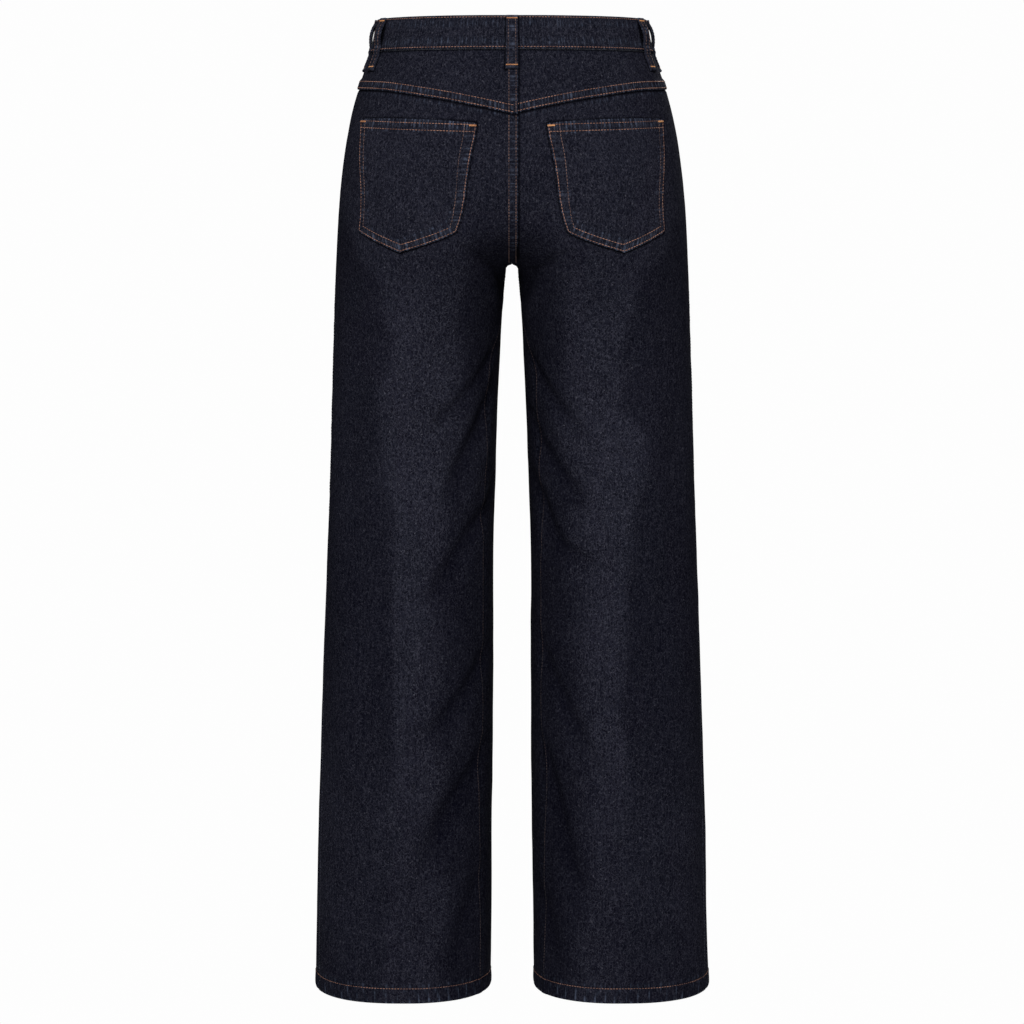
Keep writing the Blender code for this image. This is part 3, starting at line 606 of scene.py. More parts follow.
def leg_painted_shade(u, z, side):
    """Painted shade on the legs and the seat: how much darker than the palest cloth they are, from 0 to
    1.
    """
    height = fold_height(u.ravel(), z.ravel(), side).reshape(u.shape)
    u = np.mod(u, 2)
    back_u = np.where(u < 1, 2 - u, u)
    band = {name: smooth_value(z / MM, BAND["z"], BAND[name]) for name in BAND_COLUMNS[1:]}
    wander = 0.020 * waves(u * GIRTH / 0.030, z / 0.045, 35, 20)
    to_side = band[f"{side}_side"] - back_u + wander
    to_inside = back_u - band[f"{side}_inside"] + wander
    # painted shade towards the side and towards the inside of the lit band
    dark = np.maximum(band["side_painted_shade"] * soft_step(to_side / 0.055 + 0.5),
                      band["inside_painted_shade"] * soft_step(to_inside / 0.110 + 0.5))
    # painted shade in the troughs of the creases on the inner side, and painted highlight on their ridges
    inner = soft_step((back_u - 1.48) / 0.10) * soft_step((-0.230 - z) / 0.060)
    dark = dark + (1 - dark) * CREASE_PAINTED_SHADE * inner * soft_step(-height / CREASE_DEPTH)
    dark = dark * (1 - RIDGE_PAINTED_HIGHLIGHT * inner * soft_step(height / RIDGE_HEIGHT))
    dark = dark * soft_step((-0.150 - z) / 0.070)
    return 1 - (1 - dark) * band["painted_paleness"]


def shadow_under_edges(*distances):
    """How close a place is to the edges that lie over it, 1 at an edge and 0 from 4 mm, which paints
    their shadow on the cloth.
    """
    return np.clip(1 - np.minimum.reduce(np.broadcast_arrays(*distances)) / 0.004, 0, 1)


def near_edge(*edges):
    """Wear along edges, from each one's distance in metres and its kind of wear."""
    wear = 0.0
    for distance, kind in edges:
        reach, amount = WEAR[kind]
        wear = np.maximum(wear, ridge(np.abs(distance), amount, reach))
    return wear


def worn(*seams):
    """Wear and the run along it, from pairs of a seam's wear and its run: the stronger wins."""
    wear, along = seams[0]
    along = along + 0 * wear
    for other, run in seams[1:]:
        stronger = other > wear
        wear, along = np.where(stronger, other, wear), np.where(stronger, run, along)
    return {"seam": wear, "along": along}


def grid_quads(rows, cols, start):
    index = start + np.arange(rows * cols).reshape(rows, cols)
    corners = (index[:-1, :-1], index[1:, :-1], index[1:, 1:], index[:-1, 1:])
    return np.stack(corners, axis=-1).reshape(-1, 4)


def rim_of(grid):
    """The places round a grid's outline, in order, as a closed loop."""
    return np.concatenate([grid[0], grid[1:, -1], grid[-1, -2::-1], grid[-2:0:-1, 0]])


def finished(name, bm, materials, angle, inside_faces=None, marks=None):
    """An object of a mesh. inside_faces take the second material, marks are values at points."""
    mesh = bpy.data.meshes.new(name)
    bm.to_mesh(mesh)
    bm.free()
    for mark, values in (marks or {}).items():
        layer = mesh.attributes.new(mark, "FLOAT", "POINT")
        layer.data.foreach_set("value", np.asarray(values, np.float32))
    for material in materials:
        mesh.materials.append(material)
    if inside_faces is not None:
        slots = np.zeros(len(mesh.polygons), np.int32)
        slots[inside_faces] = 1
        mesh.polygons.foreach_set("material_index", slots)
    mesh.polygons.foreach_set("use_smooth", [True] * len(mesh.polygons))
    mesh.set_sharp_from_angle(angle=math.radians(angle))
    piece = bpy.data.objects.new(name, mesh)
    bpy.context.scene.collection.objects.link(piece)
    return piece


def new_object(name, points, faces, materials, **extra):
    """An object of points and faces."""
    mesh = bpy.data.meshes.new(name)
    mesh.from_pydata(points.tolist(), [], faces.tolist())
    bm = bmesh.new()
    bm.from_mesh(mesh)
    bpy.data.meshes.remove(mesh)
    bmesh.ops.recalc_face_normals(bm, faces=bm.faces)
    return finished(name, bm, materials, CLOTH_SHARP, **extra)


def wall(name, outside, inside, **marks):
    """A closed wall between two grids of points, rows by columns."""
    rows, cols = outside.shape[:2]
    count = rows * cols
    points = np.concatenate([outside.reshape(-1, 3), inside.reshape(-1, 3)])
    front, behind = grid_quads(rows, cols, 0), grid_quads(rows, cols, count)[:, ::-1]
    rim = rim_of(np.arange(count).reshape(rows, cols))
    following = np.roll(rim, -1)
    edge = np.stack([rim, following, following + count, rim + count], axis=1)
    marks = {mark: np.tile(np.broadcast_to(values, (rows, cols)).ravel(), 2)
             for mark, values in marks.items()}
    return new_object(name, points, np.concatenate([front, edge, behind]), (DENIM, INSIDE),
                      inside_faces=slice(len(front) + len(edge), None), marks=marks)


def cloth_wall(name, u, z, side, lift, thickness, **marks):
    return wall(name, cloth(u, z, side, lift), cloth(u, z, side, lift - thickness), **marks)


def spaced(count, width):
    """Shares from 0 to 1, close together at both ends where an edge turns in."""
    fine = np.array([0.0, 0.0007, 0.0016, 0.0030]) / width
    middle = np.linspace(fine[-1], 1 - fine[-1], count - 6)
    return np.concatenate([fine[:-1], middle, 1 - fine[-2::-1]])


def line(u, z):
    """Places (u, z) in a row, of which one may be a single value."""
    return np.stack(np.broadcast_arrays(u, z), axis=1)


def unit(vectors):
    return vectors / np.linalg.norm(vectors, axis=1, keepdims=True)


def threads(name, middles, directions, normals, length, thickness, material):
    """Short bulging threads, each lying along its direction on the cloth."""
    directions = unit(directions)
    across = unit(np.cross(normals, directions))
    normals = np.cross(directions, across)
    radius = thickness / 2
    verts = np.stack([middles + directions * (along * length / 2)
                      + across * (math.cos(angle) * size * radius)
                      + normals * ((math.sin(angle) * size * 0.8 + sink) * radius)
                      for along, size, sink in THREAD_SECTIONS for angle in THREAD_ANGLES], axis=1)
    ring, last = len(THREAD_ANGLES), (len(THREAD_SECTIONS) - 1) * len(THREAD_ANGLES)
    faces = []
    for start in range(0, last, ring):
        for k in range(ring):
            a, b = start + k, start + (k + 1) % ring
            faces.append((a, b, b + ring, a + ring))
    for end in (0, last):
        faces += [(end, end + 1, end + 2, end + 3), (end, end + 3, end + 4, end + 5)]
    starts = np.arange(len(middles)) * verts.shape[1]
    all_faces = (np.array(faces)[None] + starts[:, None, None]).reshape(-1, 4)
    return new_object(name, verts.reshape(-1, 3), all_faces, [material])


def faced_out(normals, middles):
    """Normals turned away from the middle of the leg, or of the waist above the legs."""
    middle_x = np.where(middles[:, 2] < CROTCH, np.sign(middles[:, 0]) * 0.11, 0.0)
    outward = middles[:, :2] - line(middle_x, 0.0)
    flipped = (normals[:, :2] * outward).sum(axis=1) < 0
    return np.where(flipped[:, None], -normals, normals)


def row_points(places, surface, pitch=STITCH_PITCH):
    """Stitch middles, directions and normals along places, read from surface(u, z)."""
    if len(places) < 40:
        t = np.linspace(0, len(places) - 1, 40 * len(places))
        places = np.stack([np.interp(t, np.arange(len(places)), values) for values in places.T], axis=1)
    steps = np.linalg.norm(np.diff(surface(*places.T), axis=0), axis=1)
    lengths = np.concatenate([[0], np.cumsum(steps)])
    count = max(int(lengths[-1] / pitch), 1)
    middle = (np.arange(count) + 0.5) * lengths[-1] / count

    def place_at(length):
        return [np.interp(length, lengths, values) for values in places.T]
    u, z = place_at(middle)
    middles = surface(u, z)
    directions = surface(*place_at(middle + pitch / 3)) - surface(*place_at(middle - pitch / 3))
    normals = np.cross(surface(u + 0.003, z) - surface(u - 0.003, z),
                       surface(u, z + 0.001) - surface(u, z - 0.001))
    return middles, directions, faced_out(normals, middles)


def add_node(tree, kind, output, inputs=None, **settings):
    """Add a node, set or link its inputs by name or number, and return one of its outputs."""
    node = tree.nodes.new("ShaderNode" + kind)
    for name, value in settings.items():
        setattr(node, name, value)
    for name, value in (inputs or {}).items():
        if isinstance(value, bpy.types.NodeSocket):
            tree.links.new(value, node.inputs[name])
        else:
            node.inputs[name].default_value = value
    return node.outputs[output]


class Looks:
    """Small helper that adds nodes to one material."""

    def __init__(self, name):
        self.material = bpy.data.materials.new(name)
        self.material.use_nodes = True
        self.tree = self.material.node_tree
        self.place = self.add("TexCoord", "Object")

    def add(self, kind, output, inputs=None, **settings):
        return add_node(self.tree, kind, output, inputs, **settings)

    def noise(self, size, detail=2.0, stretch=(1, 1, 1), rough=0.5):
        """Noise whose lumps are about size metres, stretched along each axis."""
        scale = [1 / (size * s) for s in stretch]
        place = self.add("Mapping", "Vector", {"Vector": self.place, "Scale": scale})
        return self.add("TexNoise", "Fac", {"Vector": place, "Scale": 1.0, "Detail": detail,
                                            "Roughness": rough})

    def ramp(self, value, low, high, to_low=0.0, to_high=1.0):
        inputs = {"Value": value, "From Min": low, "From Max": high, "To Min": to_low, "To Max": to_high}
        return self.add("MapRange", "Result", inputs, interpolation_type="SMOOTHSTEP")

    def streaks(self):
        """Short streaks across a seam, from the distance along it."""
        run = self.math("DIVIDE", self.attribute("along"), STREAK_PITCH)
        grain = self.add("TexNoise", "Fac", {"W": run, "Scale": 1.0, "Detail": 1.0},
                         noise_dimensions="1D")
        return self.ramp(grain, 0.47, 0.64)

    def math(self, operation, *values):
        return self.add("Math", "Value", dict(enumerate(values)), operation=operation)

    def times(self, a, b):
        return self.math("MULTIPLY", a, b)

    def plus(self, a, b):
        return self.math("ADD", a, b)

    def mix(self, share, a, b):
        a, b = ((*colour, 1.0) if isinstance(colour, tuple) else colour for colour in (a, b))
        return self.add("Mix", 2, {0: share, 6: a, 7: b}, data_type="RGBA")

    def attribute(self, name):
        return self.add("Attribute", "Fac", attribute_name=name)

    def done(self, bump=None, depth=0.0, **inputs):
        """The material, with its shader's inputs set or linked and a bump of this depth."""
        shader = self.tree.nodes["Principled BSDF"]
        if bump is not None:
            inputs["Normal"] = self.add("Bump", "Normal", {"Height": bump, "Distance": depth,
                                                           "Strength": 1.0})
        for name, value in inputs.items():
            socket = shader.inputs[name.replace("_", " ")]
            if isinstance(value, bpy.types.NodeSocket):
                self.tree.links.new(value, socket)
            else:
                socket.default_value = value
        return self.material


# Colours of the denim: its yarns, their deep shade, pale flecks, brighter specks, worn edges
FACE_COLOURS = ((0.0124, 0.0130, 0.0216), (0.0020, 0.0021, 0.0048), (0.0580, 0.0585, 0.0800),
                (0.125, 0.125, 0.155), (0.066, 0.080, 0.120))
REVERSE_COLOURS = ((0.115, 0.122, 0.140), (0.060, 0.066, 0.084), (0.21, 0.215, 0.23),
                   (0.27, 0.27, 0.28), (0.17, 0.18, 0.20))
# Navy that painted shade darkens the cloth towards
SHADE = (0.0, 0.0, 0.0022)
STREAK_PITCH = 0.0036
# Colours of the threads, and of their darker stretches
THREAD_COLOURS = {
    "copper": ((0.29, 0.150, 0.105), (0.125, 0.060, 0.042)),
    "dull": ((0.150, 0.088, 0.072), (0.040, 0.025, 0.025)),
    # copper darkened as painted shade, for the inseam on the inner thigh
    "shaded_copper": ((0.040, 0.027, 0.028), (0.012, 0.010, 0.013)),
    "pale": ((0.055, 0.055, 0.078), (0.013, 0.013, 0.021)),
    "tack": ((0.52, 0.25, 0.10), (0.30, 0.125, 0.055)),
}


def denim(name, base, deep, fleck, speckle, worn_edge):
    """Raw indigo twill: pale flecks, vertical slubs, soft mottling and worn, puckered seams, with painted
    shade and painted shadow from the marks dark and gap.
    """
    look = Looks(name)
    mottle = look.ramp(look.noise(0.045, 3.0, (1, 1, 1.6)), 0.32, 0.68)
    slub = look.ramp(look.noise(0.0016, 2.0, (1, 1, 8)), 0.38, 0.72)
    dark_yarn = look.ramp(look.noise(0.0019, 2.0, (1, 1, 1.3), 0.6), 0.38, 0.56)
    # pale warp ends wander along the level lines of a fine noise
    level = look.math("ABSOLUTE", look.math("SUBTRACT", look.noise(0.0029, 1.0, (1, 1, 1.4)), 0.5))
    ends = look.ramp(level, 0.008, 0.052, 1.0, 0.0)
    speck = look.ramp(look.noise(0.0022, 1.0, (1, 1, 1.2)), 0.70, 0.78)
    colour = look.mix(look.ramp(mottle, 0.0, 1.0, 0.72, 1.0), deep, base)
    colour = look.mix(look.ramp(dark_yarn, 0.0, 1.0, 0.30, 1.0), deep, colour)
    for share, amount, paler in ((slub, 0.14, fleck), (ends, 0.46, fleck), (speck, 0.45, speckle)):
        colour = look.mix(look.times(share, amount), colour, paler)
    # seams are worn in streaks, with painted shade in the hollows between them
    seam, streak = look.attribute("seam"), look.streaks()
    patchy = look.ramp(look.noise(0.0050, 3.0, (1, 1, 1), 0.65), 0.34, 0.68)
    lit = look.plus(look.times(streak, 0.75), 0.25)
    share = look.times(seam, look.times(lit, look.plus(patchy, 0.30)))
    colour = look.mix(look.times(seam, look.ramp(streak, 0.0, 0.5, 0.55, 0.0)), colour, deep)
    colour = look.mix(look.ramp(share, 0.0, 0.85), colour, worn_edge)
    # painted shade beside the pale bands of the legs and on the pieces above them, and painted shadow
    # where another edge lies close over the cloth
    colour = look.mix(look.attribute("dark"), colour, SHADE)
    near = look.times(look.ramp(look.attribute("gap"), 0.22, 0.80), 0.85)
    colour = look.mix(near, colour, tuple(0.4 * c for c in deep))
    rise = look.plus(look.times(ends, 0.5), look.times(dark_yarn, 0.6))
    pucker = look.times(look.times(streak, seam), 3.0)
    return look.done(look.plus(rise, pucker), 0.00024, Base_Color=colour,
                     Roughness=look.ramp(ends, 0.0, 1.0, 0.95, 0.86), Specular_IOR_Level=0.012)


def thread_look(name, colour, dark):
    """Cotton thread whose dye varies along the rows."""
    look = Looks(name)
    share = look.ramp(look.noise(0.020, 3.0, (1, 1, 1), 0.7), 0.36, 0.60)
    return look.done(look.noise(0.0004, 1.0), 0.00008, Base_Color=look.mix(share, dark, colour),
                     Roughness=0.6, Specular_IOR_Level=0.2)


def metal_look():
    look = Looks("antique_copper")
    tarnish = look.ramp(look.noise(0.003, 4.0), 0.35, 0.7)
    colour = look.mix(tarnish, (0.26, 0.125, 0.068), (0.075, 0.042, 0.028))
    return look.done(look.noise(0.0008, 2.0), 0.00005, Base_Color=colour,
                     Roughness=look.ramp(tarnish, 0.0, 1.0, 0.38, 0.60), Metallic=1.0)


DENIM = denim("indigo_denim", *FACE_COLOURS)
INSIDE = denim("denim_reverse", *REVERSE_COLOURS)
THREAD_LOOKS = {name: thread_look(f"{name}_thread", *both) for name, both in THREAD_COLOURS.items()}
METAL = metal_look()


# Heights of the leg panels' rows, close together round the crotch and at the hem
LEG_ROWS = np.concatenate([
    np.arange(-0.1200, -0.2130, -0.0034),
    np.arange(-0.2140, -0.2620, -0.0016),
    np.arange(-0.2640, HEM + 0.0300, -0.0042),
    np.linspace(HEM + 0.0285, HEM + 0.0020, 20),
    HEM + np.array([0.0012, 0.0005, 0.0]),
])
TOP_BLEND = -0.1180
TOP_ROWS = 20
PANEL_COLUMNS = 104


def panel_rows(top):
    """Heights of a panel's grid: rows from its top edge, then the leg's rows."""
    first = np.array([0.0, 0.0005, 0.0013, 0.0024])[:, None]
    share = np.linspace(0, 1, TOP_ROWS)[:-1, None]
    upper = (top - 0.0036) * (1 - share) + TOP_BLEND * share
    return np.vstack([top - first, upper, np.repeat(LEG_ROWS[:, None], len(top), axis=1)])


def hem_thickness(z):
    """The cloth's thickness by height: the hem is turned up inside."""
    return CLOTH + (HEM_CLOTH - CLOTH) * soft_step((HEM + HEM_DEPTH + 0.001 - z) / 0.001)


def hem_ropes(u, z):
    """The slanting ropes of the turned hem, about -1 to 1, and where they lie."""
    up = z - HEM
    around = np.mod(u, 2) * GIRTH
    phase = (around + 0.35 * up) / 0.0112 + 0.45 * waves(around / 0.035, 0 * up, 31, 17)
    strength = 0.65 + 0.35 * waves(around / 0.040, 0 * up, 32, 15)
    return np.sin(2 * math.pi * phase) * strength


def hem_relief(u, z):
    """The turned hem: slanting roping, a sunk stitch line and a rounded edge."""
    up = z - HEM
    inside = soft_step((HEM_DEPTH + 0.002 - up) / 0.004) * soft_step(up / 0.004)
    rise = 0.00050 * hem_ropes(u, z) * inside - ridge(up - HEM_DEPTH, 0.00045, 0.0013)
    rise += 0.0005 * soft_step((HEM_DEPTH + 0.001 - up) / 0.003)
    return rise + turned(up, 0.0012, 0.0020)


def hem_wear(u, z):
    """Wear of the hem: on its ropes, at its edge and in small marks over the stitches."""
    up = z - HEM
    ropes = 1.5 * np.clip(hem_ropes(u, z), 0, 1) ** 1.5 * soft_step(up / 0.002)
    ropes = ropes * soft_step((HEM_DEPTH + 0.0015 - up) / 0.002)
    return np.maximum(near_edge((up, "hem_edge"), (up - HEM_DEPTH - 0.003, "hem_row")), ropes)


def lap_taper(z):
    """1 along the centre back seam, 0 at the crotch, where the lap runs out."""
    return soft_step((z - CROTCH - 0.002) / 0.030)


def centre_lap(u, z, side):
    """Rise of the left side where it laps over the right at the centre back."""
    x = centre_x(u, z)
    if side == "right":
        return turned(np.abs(x) + 0.004, 0.0006, 0.003)
    rise = LAP_RISE * soft_step((0.0085 - x) / 0.0060)
    wrinkle = ridge(x + 0.0015, 0.00030 * puckers(z, 41, 0.0085), 0.0065)
    return (rise + wrinkle + turned(x + FELL_WIDTH)) * lap_taper(z)


def lap_wear(u, z):
    """Wear of the left side's lapped edge and rows at the centre back."""
    x = centre_x(u, z)
    return near_edge((x + FELL_WIDTH, "lap_edge"), (x + 0.001, "lap_rows"))


def seam_rise(distance, along, seed):
    """A plain pressed seam: the cloth sinks at it and puckers beside it."""
    wrinkle = 0.00034 * puckers(along, seed) * np.exp(-distance / 0.0060)
    return ridge(distance, -0.0006, 0.0016) + wrinkle


def leg_seams(u, z, seed, back):
    """The pressed outseam of a leg panel and, below the crotch, its inseam."""
    to_outseam, to_inseam = seam_distances(u, z, back)
    lift = seam_rise(np.abs(to_outseam), z, seed)
    return lift + soft_step((CROTCH - z) / 0.010) * seam_rise(np.abs(to_inseam), z, seed + 2)


def back_lift(u, z, side):
    seed = SEEDS[side]["back"]
    lift = leg_seams(u, z, seed, True)
    # the felled inseam lies proud as far as its outer stitch row
    flat = soft_step((seam_distances(u, z, True)[1] - 0.0085) / 0.0030)
    lift += soft_step((CROTCH - z) / 0.010) * 0.0007 * (1 - flat)
    under_yoke = z - yoke_z(u)
    deeper = 0.0009 * (1 - soft_step(((u - 1) * GIRTH - 0.008) / 0.016))
    lift -= (0.0005 + deeper) * soft_step((under_yoke + 0.0005) / 0.001)
    lift += ridge(under_yoke, 0.00035, 0.0050) * puckers(u * GIRTH, seed + 4)
    lift += hem_relief(u, z)
    return lift + np.where(z > CROTCH, centre_lap(u, z, side), 0.0)


def yoke_lift(u, z, side):
    seed = SEEDS[side]["yoke"]
    above, to_side, to_band = z - yoke_z(u), (u - 1) * GIRTH, BAND_FOOT - z
    flatter = 0.0013 * (1 - soft_step((to_side - 0.006) / 0.014))
    lift = (LAP_RISE - flatter) * (1 - soft_step((above - 0.0085) / 0.0040)) + turned(above)
    lift += ridge(above - 0.0050, 0.00042, 0.0050) * puckers(u * GIRTH, seed, 0.0060)
    lift += seam_rise(to_side, z, seed + 2)
    lift += turned(to_band, 0.0006, 0.0020)
    lift += 0.00030 * np.exp(-to_band / 0.006) * puckers(u * GIRTH, seed + 4, 0.0090)
    return lift + centre_lap(u, z, side)


def back_panel(side):
    share = spaced(PANEL_COLUMNS, 0.27)
    z = panel_rows(yoke_z(1.0 + share) + LAP_UNDER)
    start, end = seam_u(z, "outseam") + INSET, seam_u(z, "inseam") - INSET
    if side == "left":
        mean = z.mean(axis=1)
        end = end + (centre_share(mean, FELL_WIDTH) * lap_taper(mean))[:, None]
    u = start * (1 - share) + end * share
    yoke_edge = yoke_z(u) - z
    to_outseam, to_inseam = seam_distances(u, z, True)
    down = near_edge((to_inseam, "inseam"), (to_outseam, "outseam"))
    across = np.maximum(near_edge((yoke_edge - 0.0035, "under_yoke")), hem_wear(u, z))
    # edges whose shadow is painted on the panel: the yoke, the pocket and, on the right, the lapped
    # centre seam
    over = [yoke_edge, rim_distance(u, z)]
    if side == "left":
        down = np.maximum(down, np.where(z > CROTCH, lap_wear(u, z) * lap_taper(z), 0))
    else:
        over.append(np.where(z > CROTCH + 0.01, np.abs(centre_x(u, z) - FELL_WIDTH), 1.0))
    return cloth_wall(f"denim_back_{side}", u, z, side, back_lift(u, z, side), hem_thickness(z),
                      gap=shadow_under_edges(*over), dark=leg_painted_shade(u, z, side),
                      **worn((down, z), (across, u * GIRTH)))


def yoke(side):
    share = spaced(230, 0.27)
    down = np.concatenate([[0.0, 0.012, 0.030], np.linspace(0.055, 0.80, 14),
                           np.linspace(0.83, 0.965, 7), [0.982, 0.993, 1.0]])[:, None]

    def grid(lap):
        """Places of the yoke whose inner end lies lap past the centre back, row by row."""
        u = 1 + INSET + (2 - INSET - 1 - INSET + lap) * share
        return u, BAND_SEAM * (1 - down) + yoke_z(u) * down
    u, z = grid(np.zeros_like(down))
    if side == "left":
        u, z = grid(centre_share(z[:, -1], FELL_WIDTH)[:, None])
    above = z - yoke_z(u)
    across = near_edge((above, "yoke_edge"), (above - 0.0052, "yoke_rows"), (z - BAND_FOOT, "yoke_top"))
    upright = near_edge(((u - 1) * GIRTH, "yoke_side"))
    # edges whose shadow is painted on the yoke: the waistband's foot, the belt loops and, on the right,
    # the lapped centre seam
    over = [BAND_FOOT - z, np.where(z > WAIST_TOP - LOOP_LENGTH - 0.001, beside_loops(u), 1.0)]
    if side == "left":
        upright = np.maximum(upright, lap_wear(u, z))
    else:
        over.append(np.abs(centre_x(u, z) - FELL_WIDTH))
    return cloth_wall(f"denim_yoke_{side}", u, z, side, yoke_lift(u, z, side), CLOTH,
                      gap=shadow_under_edges(*over), dark=PIECE_PAINTED_SHADE["yoke"],
                      **worn((across, u * GIRTH), (upright, z)))


def scoop_z(u):
    """Top edge of the front: the waistband's foot, then the pocket's scoop."""
    inside = np.clip(1 - ((1 - u) * BAND_HALF / SCOOP_WIDTH) ** 2, 0.0, 1.0)
    return BAND_SEAM - SCOOP_DEPTH * np.sqrt(inside)


# Columns of a front: close together past the fly's edge, evenly, then by angle along the scoop
SCOOP_START = 1 - SCOOP_WIDTH / BAND_HALF
FRONT_SHARES = np.concatenate([
    [0.0, 0.003, 0.007, 0.012], np.linspace(0.019, SCOOP_START, 56),
    1 - (1 - SCOOP_START) * np.cos(np.linspace(0, math.pi / 2, 45))[1:],
])
FACING_COLUMN = 58


def fly_lap(z):
    """How far the left front laps past the centre, by height."""
    return FLY_LAP * soft_step((z - FLY_FOOT - FLY_BLEND) / FLY_BLEND)


def front_lift(u, z, side):
    seed, across = SEEDS[side]["front"], u * GIRTH
    lift = leg_seams(u, z, seed, False) + hem_relief(u, z)
    if side == "left":
        near = 1 - soft_step((across - FLY_LAP / 2) / FLY_EDGE)
        lift += near * FLY_RISE * soft_step((z - FLY_FOOT) / FLY_BLEND)
        lift += np.where(z > FLY_FOOT + FLY_BLEND, turned(across + fly_lap(z)), 0.0)
    seat = soft_step((z - CROTCH) / 0.006) * soft_step((FLY_FOOT - z) / 0.010)
    return lift + seat * seam_rise(np.abs(across), z, seed + 4)


def front_panel(side):
    share = FRONT_SHARES
    z = panel_rows(scoop_z(share))
    start, end = seam_u(z, "inseam") - 2 + INSET, seam_u(z, "outseam") - INSET
    if side == "left":
        start = start - (fly_lap(z[:, 0]) / half_width(z[:, 0]))[:, None]
    u = start * (1 - share) + end * share
    edge = np.minimum(scoop_z(np.clip(u, 0, 1)) - z, 0.05)
    to_outseam, to_inseam = seam_distances(u, z, False)
    across = near_edge((edge, "scoop_edge"), (edge - 0.005, "scoop_rows"))
    across = np.maximum(across, hem_wear(u, z))
    down = near_edge((to_outseam, "outseam"), (to_inseam, "inseam"))
    # edges whose shadow is painted on the front: the waistband's foot and, on the right, the fly's lap
    over = [np.where(edge < 0.004, BAND_FOOT - z, 1.0)]
    if side == "left":
        fly = near_edge((u * GIRTH + fly_lap(z), "fly_edge"))
        down = np.maximum(down, np.where(z > FLY_FOOT, fly, 0))
    else:
        over.append(np.where(z > FLY_FOOT, np.abs(u * GIRTH - fly_lap(z)), 1.0))
    lift = front_lift(u, z, side) + turned(edge, 0.0007)
    return cloth_wall(f"denim_front_{side}", u, z, side, lift, hem_thickness(z),
                      gap=shadow_under_edges(*over), dark=leg_painted_shade(u, z, side),
                      **worn((across, u * GIRTH), (down, z)))


def front_facing(side):
    """The pocket's facing, seen behind the scooped opening."""
    u = FRONT_SHARES[FACING_COLUMN:] * (1 - INSET)
    to_side = (1 - u) * BAND_HALF
    round_off = np.sqrt(np.clip(1 - (to_side / (SCOOP_WIDTH + 2 * FACING_MARGIN)) ** 2, 0.0, 1.0))
    foot = BAND_SEAM - (SCOOP_DEPTH + FACING_MARGIN) * round_off
    down = np.linspace(0, 1, 24)[:, None]
    z = BAND_SEAM * (1 - down) + foot * down
    u = np.tile(u, (len(down), 1))
    hand = 0.0004 * waves(u * GIRTH / 0.018, z / 0.022, 81)
    # the scoop's edge paints its shadow on the facing
    return cloth_wall(f"denim_facing_{side}", u, z, side, hand - FACING_DROP - 0.0004, FACING_CLOTH,
                      gap=shadow_under_edges(z - scoop_z(u)), seam=near_edge(((1 - u) * GIRTH, "facing_side")),
                      along=z)


def fly_shield():
    """The shield behind the centre front, sewn under the right front."""
    x = np.linspace(-SHIELD_WIDTH / 2, SHIELD_WIDTH / 2, 14)
    u, z = np.meshgrid(x / BAND_HALF, np.linspace(BAND_SEAM, FLY_FOOT + 0.010, 40))
    return cloth_wall("denim_fly_shield", u, z, "left", -FACING_DROP - 0.0003, SHIELD_CLOTH,
                      seam=0.0, along=z)


def band_cloth(place, z, lift):
    """Points of the waistband: place runs from 0 at the centre front through 2 at the back to 4."""
    left = place <= 2
    u = np.where(left, place, 4 - place)
    points = skin(u, z) + skin_normal(u, z) * np.broadcast_to(lift, u.shape)[:, None]
    points[~left, 0] *= -1
    return points


def band_lift(place, z):
    """The outside of the waistband: slightly crowned, puckered beside its stitch rows."""
    edge = np.minimum(z - BAND_FOOT, WAIST_TOP - z)
    lift = BAND_PROUD - ridge(edge - 0.0022, 0.00035, 0.0011)
    lift += 0.00035 * waves(place * 4.2, z / 0.040, 91, 17)
    return lift + 0.00022 * np.exp(-edge / 0.006) * puckers(place * GIRTH, 92, 0.0085)


def beside_loops(place):
    """Distance from places along the waistband, 0 to 4, to the nearest belt loop."""
    away = [np.abs(place - (u if side == "left" else 4 - u)) for _, side, u, _ in LOOPS]
    return np.maximum(np.minimum.reduce(away) * GIRTH * 0.70 - LOOP_WIDTH / 2, 0.0)


# How far the waistband's outside turns in beside its edges: distance from the edge and sink
BAND_EDGE = ((0.0, 0.0016), (0.00025, 0.0009), (0.0008, 0.0003), (0.0016, 0.0))


def waistband():
    """One strip from its left end at the centre front round to the right end below it."""
    places = np.linspace(-FLY_LAP / WAIST_HALF, 4 + 0.030 / WAIST_HALF, 360)
    under = soft_step((places - (4 - 0.020 / WAIST_HALF)) / (0.010 / WAIST_HALF))
    sunk = under * (BAND_CLOTH + SEAM_GAP)
    ends = turned(np.minimum(places - places[0], places[-1] - places) * WAIST_HALF, 0.0010, 0.002)
    top, foot = WAIST_TOP, BAND_FOOT + SEAM_GAP / 2
    inner = np.linspace(0.0030, (top - foot) - 0.0030, 9)
    rows = ([(top - step, sink) for step, sink in BAND_EDGE] + [(top - step, 0.0) for step in inner]
            + [(foot + step, sink) for step, sink in BAND_EDGE[::-1]])
    outside, inside, seam = [], [], []
    for height, sink in rows:
        z = np.full_like(places, height)
        outside.append(band_cloth(places, z, band_lift(places, z) - sink - sunk + ends))
        inside.append(band_cloth(places, z, BAND_PROUD - BAND_CLOTH + 0.8 * sink - sunk))
        seam.append(near_edge((z - top, "band_top"), (z - foot, "band_foot"),
                              (z - foot - 0.0075, "band_low_rows"), (z - top + 0.0085, "band_high_rows")))
    # painted shadow beside the belt loops
    return wall("denim_waistband", np.array(outside), np.array(inside), seam=np.array(seam),
                along=places * GIRTH, gap=shadow_under_edges(beside_loops(places)), dark=PIECE_PAINTED_SHADE["waistband"])


